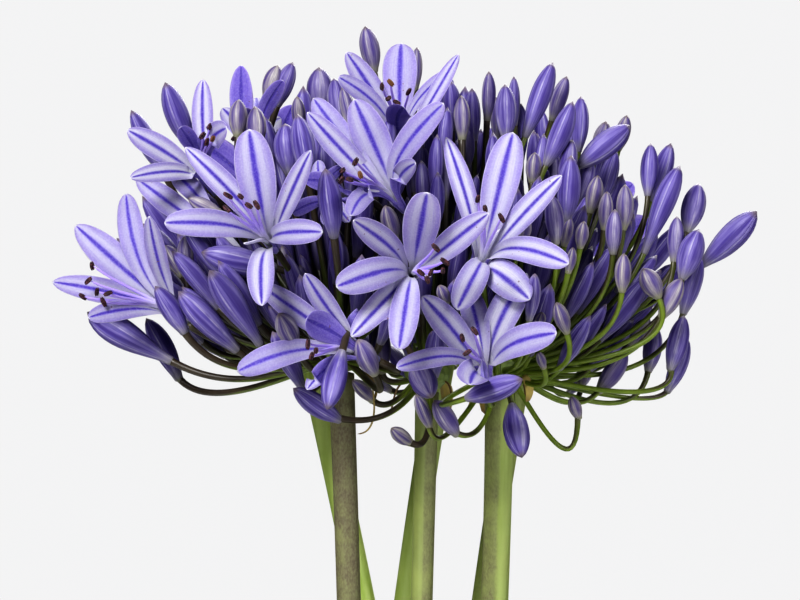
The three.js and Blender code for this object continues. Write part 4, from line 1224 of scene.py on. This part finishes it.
young = blend(tree, clouds, (0.1, 0.075, 0.17, 1), (0.27, 0.225, 0.34, 1))
young = blend(tree, sums(tree, "MULTIPLY", fibre, 0.5), young, (0.46, 0.43, 0.42, 1))
colour = blend(tree, age, young, violet)
middle_line = sums(tree, "MULTIPLY", ramp(tree, seam, 0.8, 1.0), ramp(tree, along, 0.2, 0.5, 0.2, 0.7))
colour = blend(tree, middle_line, colour, (0.055, 0.03, 0.21, 1))
seam_width = sums(tree, "ADD", ramp(tree, age, 0.0, 1.0, 0.55, 0.3), ramp(tree, along, 0.1, 0.5, 0.45, 0.0))
beside = add(
    tree,
    "ShaderNodeMapRange",
    {"Value": seam, "From Min": 0.05, "From Max": seam_width, "To Min": 1.0, "To Max": 0.0},
)
edge = sums(tree, "MULTIPLY", beside.outputs[0], ramp(tree, fibre, 0.0, 1.0, 0.4, 0.85))
edge = sums(tree, "MULTIPLY", edge, ramp(tree, patches, 0.35, 0.62, 0.35, 1.0))
cream = blend(tree, age, (0.62, 0.6, 0.5, 1), (0.5, 0.47, 0.64, 1))
colour = blend(tree, edge, colour, cream)
colour = blend(tree, ramp(tree, seam, 0.0, 0.07, 0.4, 0.0), colour, (0.1, 0.07, 0.2, 1))
foot_share = ramp(tree, age, 0.0, 1.0, 0.95, 0.5)
foot_fade = ramp(tree, along, 0.06, 0.3, 1.0, 0.0)
colour = blend(tree, sums(tree, "MULTIPLY", foot_fade, foot_share), colour, (0.34, 0.34, 0.22, 1))
colour = blend(tree, ramp(tree, along, 0.03, 0.09, 0.7, 0.0), colour, (0.16, 0.17, 0.08, 1))
colour = blend(tree, ramp(tree, along, 0.9, 0.985, 0.0, 0.7), colour, (0.2, 0.16, 0.13, 1))
# Painted shade: deep inside the dome the buds are darkened nearly to black-violet
painted_shade = sums(tree, "MULTIPLY", painted_shade_inside(tree, at), 0.85)
colour = blend(tree, painted_shade, colour, (0.012, 0.006, 0.035, 1))
relief = sums(tree, "ADD", veins, ramp(tree, seam, 0.0, 0.25, -0.6, 0.0))
dress(tree, shader, colour, 0.46, 0.35, relief, 0.4, 0.4 * MM)


def part_way(value, span):
    """How far a value lies between the two ends of a span, from 0 to 1."""
    return max(0.0, min(1.0, (value - span[0]) / (span[1] - span[0])))


def bud(bm, i, head, floret):
    """One closed bud, where the floret is one."""
    if floret.tips:
        return
    rings = BUD_RINGS if floret.shown else HIDDEN_BUD_RINGS
    sides = BUD_SIDES if floret.shown else HIDDEN_BUD_SIDES
    side = floret.axis.orthogonal().normalized()
    bow = side * (floret.length * BUD_BOW * (draw(i, head + 1) - 0.3))
    chance = (RIPE_LENGTH[1] - RIPE_LENGTH[0]) * 0.3 * (draw(i, head + 9) - 0.5)
    ripeness = part_way(floret.length + chance, RIPE_LENGTH)
    clubbed = part_way(floret.length, CLUB_LENGTH)
    points = []
    radii = []
    for ring in range(rings + 1):
        share = (ring - 1) / (rings - 1) if ring else -BUD_SINK
        bend = math.sin(math.pi * share)
        points.append(floret.foot + floret.axis * (floret.length * share) + bow * bend)
        neck = BUD_NECK * floret.scape.stout * math.exp(-BUD_NECK_FADE * max(share, 0))
        swell = smooth_table(YOUNG_SWELL, max(share, 0)) * (1 - clubbed)
        swell += smooth_table(RIPE_SWELL, max(share, 0)) * clubbed
        radii.append(neck + floret.width / 2 * swell)
    grow(bm, round_stations(points, radii), sides, ripeness, groove=BUD_GROOVE)


grow_on_umbels("buds", bud_material, bud)

# The open flowers
# Six tepals are joined at the base in a short tube and bend outwards in two whorls, the inner three
# broader. Each is a thin soft blade, pale lilac with a blue-violet line down its middle.
TUBE_FOOT_RADIUS = 1.0 * MM
TUBE_HALF_WIDTH = (0.7 * MM, 2.3 * MM)
TUBE_MARGIN = 0.6 * MM
TUBE_RINGS = 5
BLADE_RINGS = 21
TEPAL_SIDES = 20
TEPAL_SINK = 2 * MM
TEPAL_THICKNESS = 0.55 * MM
TEPAL_SWAY = 2.6
TEPAL_TWIST = 0.5
# For each whorl: where a tepal starts out from the axis, how high it bends, how far the bend leans out
OUTER_WHORL = (2.7 * MM, 0.34, 2.5 * MM)
INNER_WHORL = (1.8 * MM, 0.46, 1.0 * MM)
OUTER_WIDTH = [
    (0, 0.28), (0.15, 0.4), (0.35, 0.7), (0.55, 0.93), (0.68, 1), (0.8, 0.93), (0.9, 0.72),
    (0.96, 0.46), (1, 0.08),
]
INNER_WIDTH = [
    (0, 0.2), (0.15, 0.3), (0.35, 0.6), (0.55, 0.88), (0.7, 1), (0.82, 0.97), (0.91, 0.8),
    (0.97, 0.52), (1, 0.1),
]
# How far the blades of the flowers in the photograph turn to show it the width that was read there
FACING = 0.7
BLADE_CUP = [(0, 0.5), (0.2, 0.3), (0.5, 0.14), (0.75, 0.02), (1, -0.1)]

tepal_material, tree, shader = new_material("tepal_lilac")
skin, around, along = skin_coordinates(tree)
paleness = tint_on(tree)
aside = side_of(tree, around)
angle = sums(tree, "MULTIPLY", sums(tree, "SUBTRACT", around, 0.5), math.tau)
within = ramp(tree, sums(tree, "SINE", angle), -0.15, 0.15)
at = place_on(tree)
wander = mottling(tree, at, 170.0, 4.0)
stray = sums(tree, "MULTIPLY", sums(tree, "SUBTRACT", wander, 0.5), 0.09)
strayed = sums(tree, "ADD", aside, stray)
stretch = add(
    tree,
    "ShaderNodeCombineXYZ",
    {"X": sums(tree, "MULTIPLY", strayed, 15.0), "Y": sums(tree, "MULTIPLY", along, 3.0), "Z": paleness},
)
veins = mottling(tree, stretch.outputs[0], 1.6, 4.0)
clouds = mottling(tree, at, 120.0, 5.0)
cells = mottling(tree, at, 1700.0, 2.0)
margin = blend(tree, clouds, (0.2, 0.16, 0.42, 1), (0.33, 0.285, 0.54, 1))
band = blend(tree, paleness, (0.345, 0.32, 0.5, 1), (0.59, 0.585, 0.66, 1))
face = blend(tree, ramp(tree, strayed, 0.38, 0.9), band, margin)
face = blend(tree, ramp(tree, veins, 0.4, 0.72, 0.0, 0.45), face, (0.27, 0.225, 0.52, 1))
face = blend(tree, ramp(tree, strayed, 0.94, 0.99, 0.0, 0.6), face, (0.6, 0.56, 0.78, 1))
face = blend(tree, ramp(tree, along, 0.18, 0.6, 0.9, 0.0), face, (0.63, 0.625, 0.69, 1))
line_reach = sums(tree, "MULTIPLY", ramp(tree, along, 0.22, 0.5), ramp(tree, along, 0.93, 0.985, 1.0, 0.0))
line_width = ramp(tree, along, 0.3, 0.7, 0.08, 0.12)
from_line = sums(tree, "SUBTRACT", strayed, line_width)
glow = ramp(tree, from_line, -0.02, 0.2, 0.65, 0.0)
line = ramp(tree, from_line, -0.08, 0.08, 1.0, 0.0)
face = blend(tree, sums(tree, "MULTIPLY", glow, line_reach), face, (0.22, 0.165, 0.56, 1))
face = blend(tree, sums(tree, "MULTIPLY", line, line_reach), face, (0.085, 0.05, 0.4, 1))
back = blend(tree, clouds, (0.16, 0.115, 0.46, 1), (0.3, 0.235, 0.64, 1))
back = blend(tree, ramp(tree, strayed, 0.55, 1.0, 0.0, 0.6), back, (0.42, 0.36, 0.75, 1))
back = blend(tree, ramp(tree, veins, 0.4, 0.7, 0.0, 0.35), back, (0.1, 0.07, 0.45, 1))
back = blend(tree, ramp(tree, strayed, 0.08, 0.2, 0.8, 0.0), back, (0.075, 0.045, 0.36, 1))
colour = blend(tree, within, back, face)
colour = blend(tree, ramp(tree, cells, 0.4, 0.75, 0.0, 0.12), colour, (0.72, 0.7, 0.82, 1))
colour = blend(tree, ramp(tree, cells, 0.3, 0.5, 0.07, 0.0), colour, (0.16, 0.11, 0.4, 1))
colour = blend(tree, ramp(tree, along, 0.0, 0.12, 0.7, 0.0), colour, (0.3, 0.32, 0.42, 1))
# Painted shade: tepals deep inside the dome are darkened towards deep violet
painted_shade = sums(tree, "MULTIPLY", painted_shade_inside(tree, at), 0.75)
colour = blend(tree, painted_shade, colour, (0.03, 0.016, 0.11, 1))
colour = blend(tree, ramp(tree, along, 0.965, 0.995, 0.0, 0.8), colour, (0.8, 0.78, 0.86, 1))
flecks = mottling(tree, at, 800.0, 1.0)
fleck_patches = mottling(tree, at, 60.0, 2.0)
flecked = sums(
    tree,
    "MULTIPLY",
    ramp(tree, flecks, 0.72, 0.76),
    ramp(tree, fleck_patches, 0.52, 0.62, 0.0, 0.8),
)
colour = blend(tree, flecked, colour, (0.2, 0.12, 0.16, 1))
shader.inputs["Subsurface Weight"].default_value = 0.2
shader.inputs["Subsurface Radius"].default_value = (0.8, 0.6, 1.0)
shader.inputs["Subsurface Scale"].default_value = 1.2 * MM
relief = sums(tree, "SUBTRACT", veins, sums(tree, "MULTIPLY", line, 0.9))
relief = sums(tree, "ADD", relief, sums(tree, "MULTIPLY", cells, 0.1))
dress(tree, shader, colour, 0.55, 0.2, relief, 0.45, 0.35 * MM)


def tepal_stations(flower, k, seed):
    """Cross-sections of one tepal from the foot of the tube to its tip."""
    tip, width = flower.tips[k]
    start, rise, lean = INNER_WHORL if k % 2 else OUTER_WHORL
    blade_width = INNER_WIDTH if k % 2 else OUTER_WIDTH
    axis = flower.axis
    throat = flower.foot + axis * TUBE_LENGTH
    reach = tip - throat
    outward = (reach - axis * reach.dot(axis)).normalized()
    across = axis.cross(outward).normalized()
    root = throat + outward * start - axis * TEPAL_SINK
    bend = root + outward * lean + axis * (rise * reach.length)
    base = flower.foot + outward * TUBE_FOOT_RADIUS
    sway = across * (SWAYS.get((seed, k), TEPAL_SWAY * (draw(seed, k) - 0.5)) * MM)
    middles = [base.lerp(root, ring / TUBE_RINGS) for ring in range(TUBE_RINGS)]
    shares = [0.0] * TUBE_RINGS
    for ring in range(BLADE_RINGS + 1):
        share = 1 - (1 - ring / BLADE_RINGS) ** 1.4
        rest = 1 - share
        middle = root * rest**2 + bend * (2 * rest * share) + tip * share**2
        middles.append(middle + sway * math.sin(math.pi * share))
        shares.append(share)
    twist = (draw(seed + 5, k) - 0.5) * TEPAL_TWIST
    last = len(middles) - 1
    stations = []
    for ring, (middle, share) in enumerate(zip(middles, shares)):
        ahead = middles[min(ring + 1, last)] - middles[max(ring - 1, 0)]
        across = (across - across.project(ahead)).normalized()
        up = ahead.cross(across).normalized()
        turn = twist * share
        turned_across = across * math.cos(turn) + up * math.sin(turn)
        if flower.shown:
            facing = ahead.cross(middle - camera.location).normalized()
            facing *= -1 if facing.dot(turned_across) < 0 else 1
            turned_across = turned_across.lerp(facing, FACING * min(share * 2.5, 1)).normalized()
        turned_up = ahead.cross(turned_across).normalized()
        if ring < TUBE_RINGS:
            part = ring / TUBE_RINGS
            half = TUBE_HALF_WIDTH[0] + (TUBE_HALF_WIDTH[1] - TUBE_HALF_WIDTH[0]) * part
            half = min(half, width / 2 * blade_width[0][1] + TUBE_MARGIN)
            lift = half * 0.5
        else:
            half = width / 2 * smooth_table(blade_width, share)
            ripple = 0.05 * math.sin(share * 13 + seed + k) * share
            lift = half * (smooth_table(BLADE_CUP, share) + ripple)
        thick = TEPAL_THICKNESS / 2 * (1 - 0.45 * share)
        stations.append((middle, turned_across, turned_up, half, thick, lift))
    return stations


def tepals(bm, i, head, floret):
    """The tepals of one floret, where it is an open flower."""
    for k in range(len(floret.tips)):
        tint = floret.paleness + 0.25 * (draw(i, k) - 0.5) + (-0.3 if k % 2 else 0.1)
        grow(bm, tepal_stations(floret, k, i), TEPAL_SIDES, tint)


grow_on_umbels("tepals", tepal_material, tepals)

# The stamens
# Six thin lilac filaments lean out of each throat, each with a dark purple-brown anther hinged across
# its end, round one white style.
FILAMENT_RADIUS = 0.55 * MM
FILAMENT_SINK = 3 * MM
FILAMENT_ASIDE = 1.2 * MM
FILAMENT_RINGS = 12
FILAMENT_SIDES = 8
ANTHER_LENGTH = 3.5 * MM
ANTHER_RADIUS = 0.46 * MM
ANTHER_LOBE_GAP = 0.42 * MM
ANTHER_RINGS = 8
ANTHER_SIDES = 8
ANTHER_HINGE = 0.6
DUSTED_SHARE = 0.1
STYLE_LENGTH = 17 * MM
STYLE_ASIDE = 5 * MM
STYLE_SAG = 3 * MM
STYLE_TINT = 0.45
ANTHER_TINT = 0.8

stamen_material, tree, shader = new_material("stamen")
skin, around, along = skin_coordinates(tree)
part = tint_on(tree)
at = place_on(tree)
grain = mottling(tree, at, 1500.0, 2.0)
lilac = blend(tree, ramp(tree, along, 0.05, 0.6), (0.8, 0.79, 0.88, 1), (0.46, 0.34, 0.85, 1))
thread = blend(tree, ramp(tree, part, 0.3, 0.4), lilac, (0.76, 0.74, 0.84, 1))
dusk = blend(tree, ramp(tree, grain, 0.4, 0.7), (0.02, 0.006, 0.012, 1), (0.13, 0.045, 0.055, 1))
pollen = blend(tree, ramp(tree, part, 0.93, 0.99, 0.0, 0.7), dusk, (0.22, 0.1, 0.03, 1))
dress(tree, shader, blend(tree, ramp(tree, part, 0.6, 0.7), thread, pollen), 0.6, 0.5, grain, 0.3, 0.2 * MM)


def filament(bm, throat, axis, end, tint):
    """A thin stalk from a flower's throat to an end, bent up along the flower's axis at first."""
    reach = (end - throat).length
    start = throat - axis * FILAMENT_SINK + (end - throat).normalized() * FILAMENT_ASIDE
    low = throat + axis * (reach * 0.3)
    high = end.lerp(throat, 0.3) + axis * (reach * 0.02) - UP * (reach * 0.06)
    points = [bezier(start, low, high, end, ring / FILAMENT_RINGS) for ring in range(FILAMENT_RINGS + 1)]
    radii = [FILAMENT_RADIUS * (1.35 - 0.75 * ring / FILAMENT_RINGS) for ring in range(FILAMENT_RINGS + 1)]
    grow(bm, round_stations(points, radii), FILAMENT_SIDES, tint)


def anther(bm, hinge, along, size, tint):
    """Two pollen lobes side by side, hinged a little past their middle."""
    apart = along.orthogonal().normalized()
    for lobe in (-1, 1):
        points = []
        radii = []
        for ring in range(ANTHER_RINGS + 1):
            share = ring / ANTHER_RINGS
            bow = apart * (lobe * ANTHER_LOBE_GAP * (0.7 + 0.3 * math.sin(math.pi * share)))
            points.append(hinge + along * (size * (share - ANTHER_HINGE)) + bow)
            radii.append(ANTHER_RADIUS * math.sqrt(max(1 - (2 * share - 1) ** 2, 0)))
        grow(bm, round_stations(points, radii), ANTHER_SIDES, tint)


def stamens(bm, i, head, floret):
    """The stamens and the style of one floret, where it is an open flower that shows them."""
    if not floret.anthers:
        return
    axis = floret.axis
    throat = floret.foot + axis * TUBE_LENGTH
    for k, end in enumerate(floret.anthers):
        filament(bm, throat, axis, end, 0.0)
        along = Vector((2.6 * draw(i, k) - 1.3, 0.8 * draw(k, i) - 0.4, 1.3 - draw(i + 3, k)))
        size = ANTHER_LENGTH * (0.65 + 0.45 * draw(i + 1, k))
        dusted = draw(i + 2, k + 1) < DUSTED_SHARE
        anther(bm, end, along.normalized(), size, 1.0 if dusted else ANTHER_TINT)
    side = axis.orthogonal().normalized()
    style_out = side * math.cos(i) + axis.cross(side) * math.sin(i)
    style_end = throat + axis * STYLE_LENGTH + style_out * STYLE_ASIDE - UP * STYLE_SAG
    filament(bm, throat, axis, style_end, STYLE_TINT)


grow_on_umbels("stamens", stamen_material, stamens)
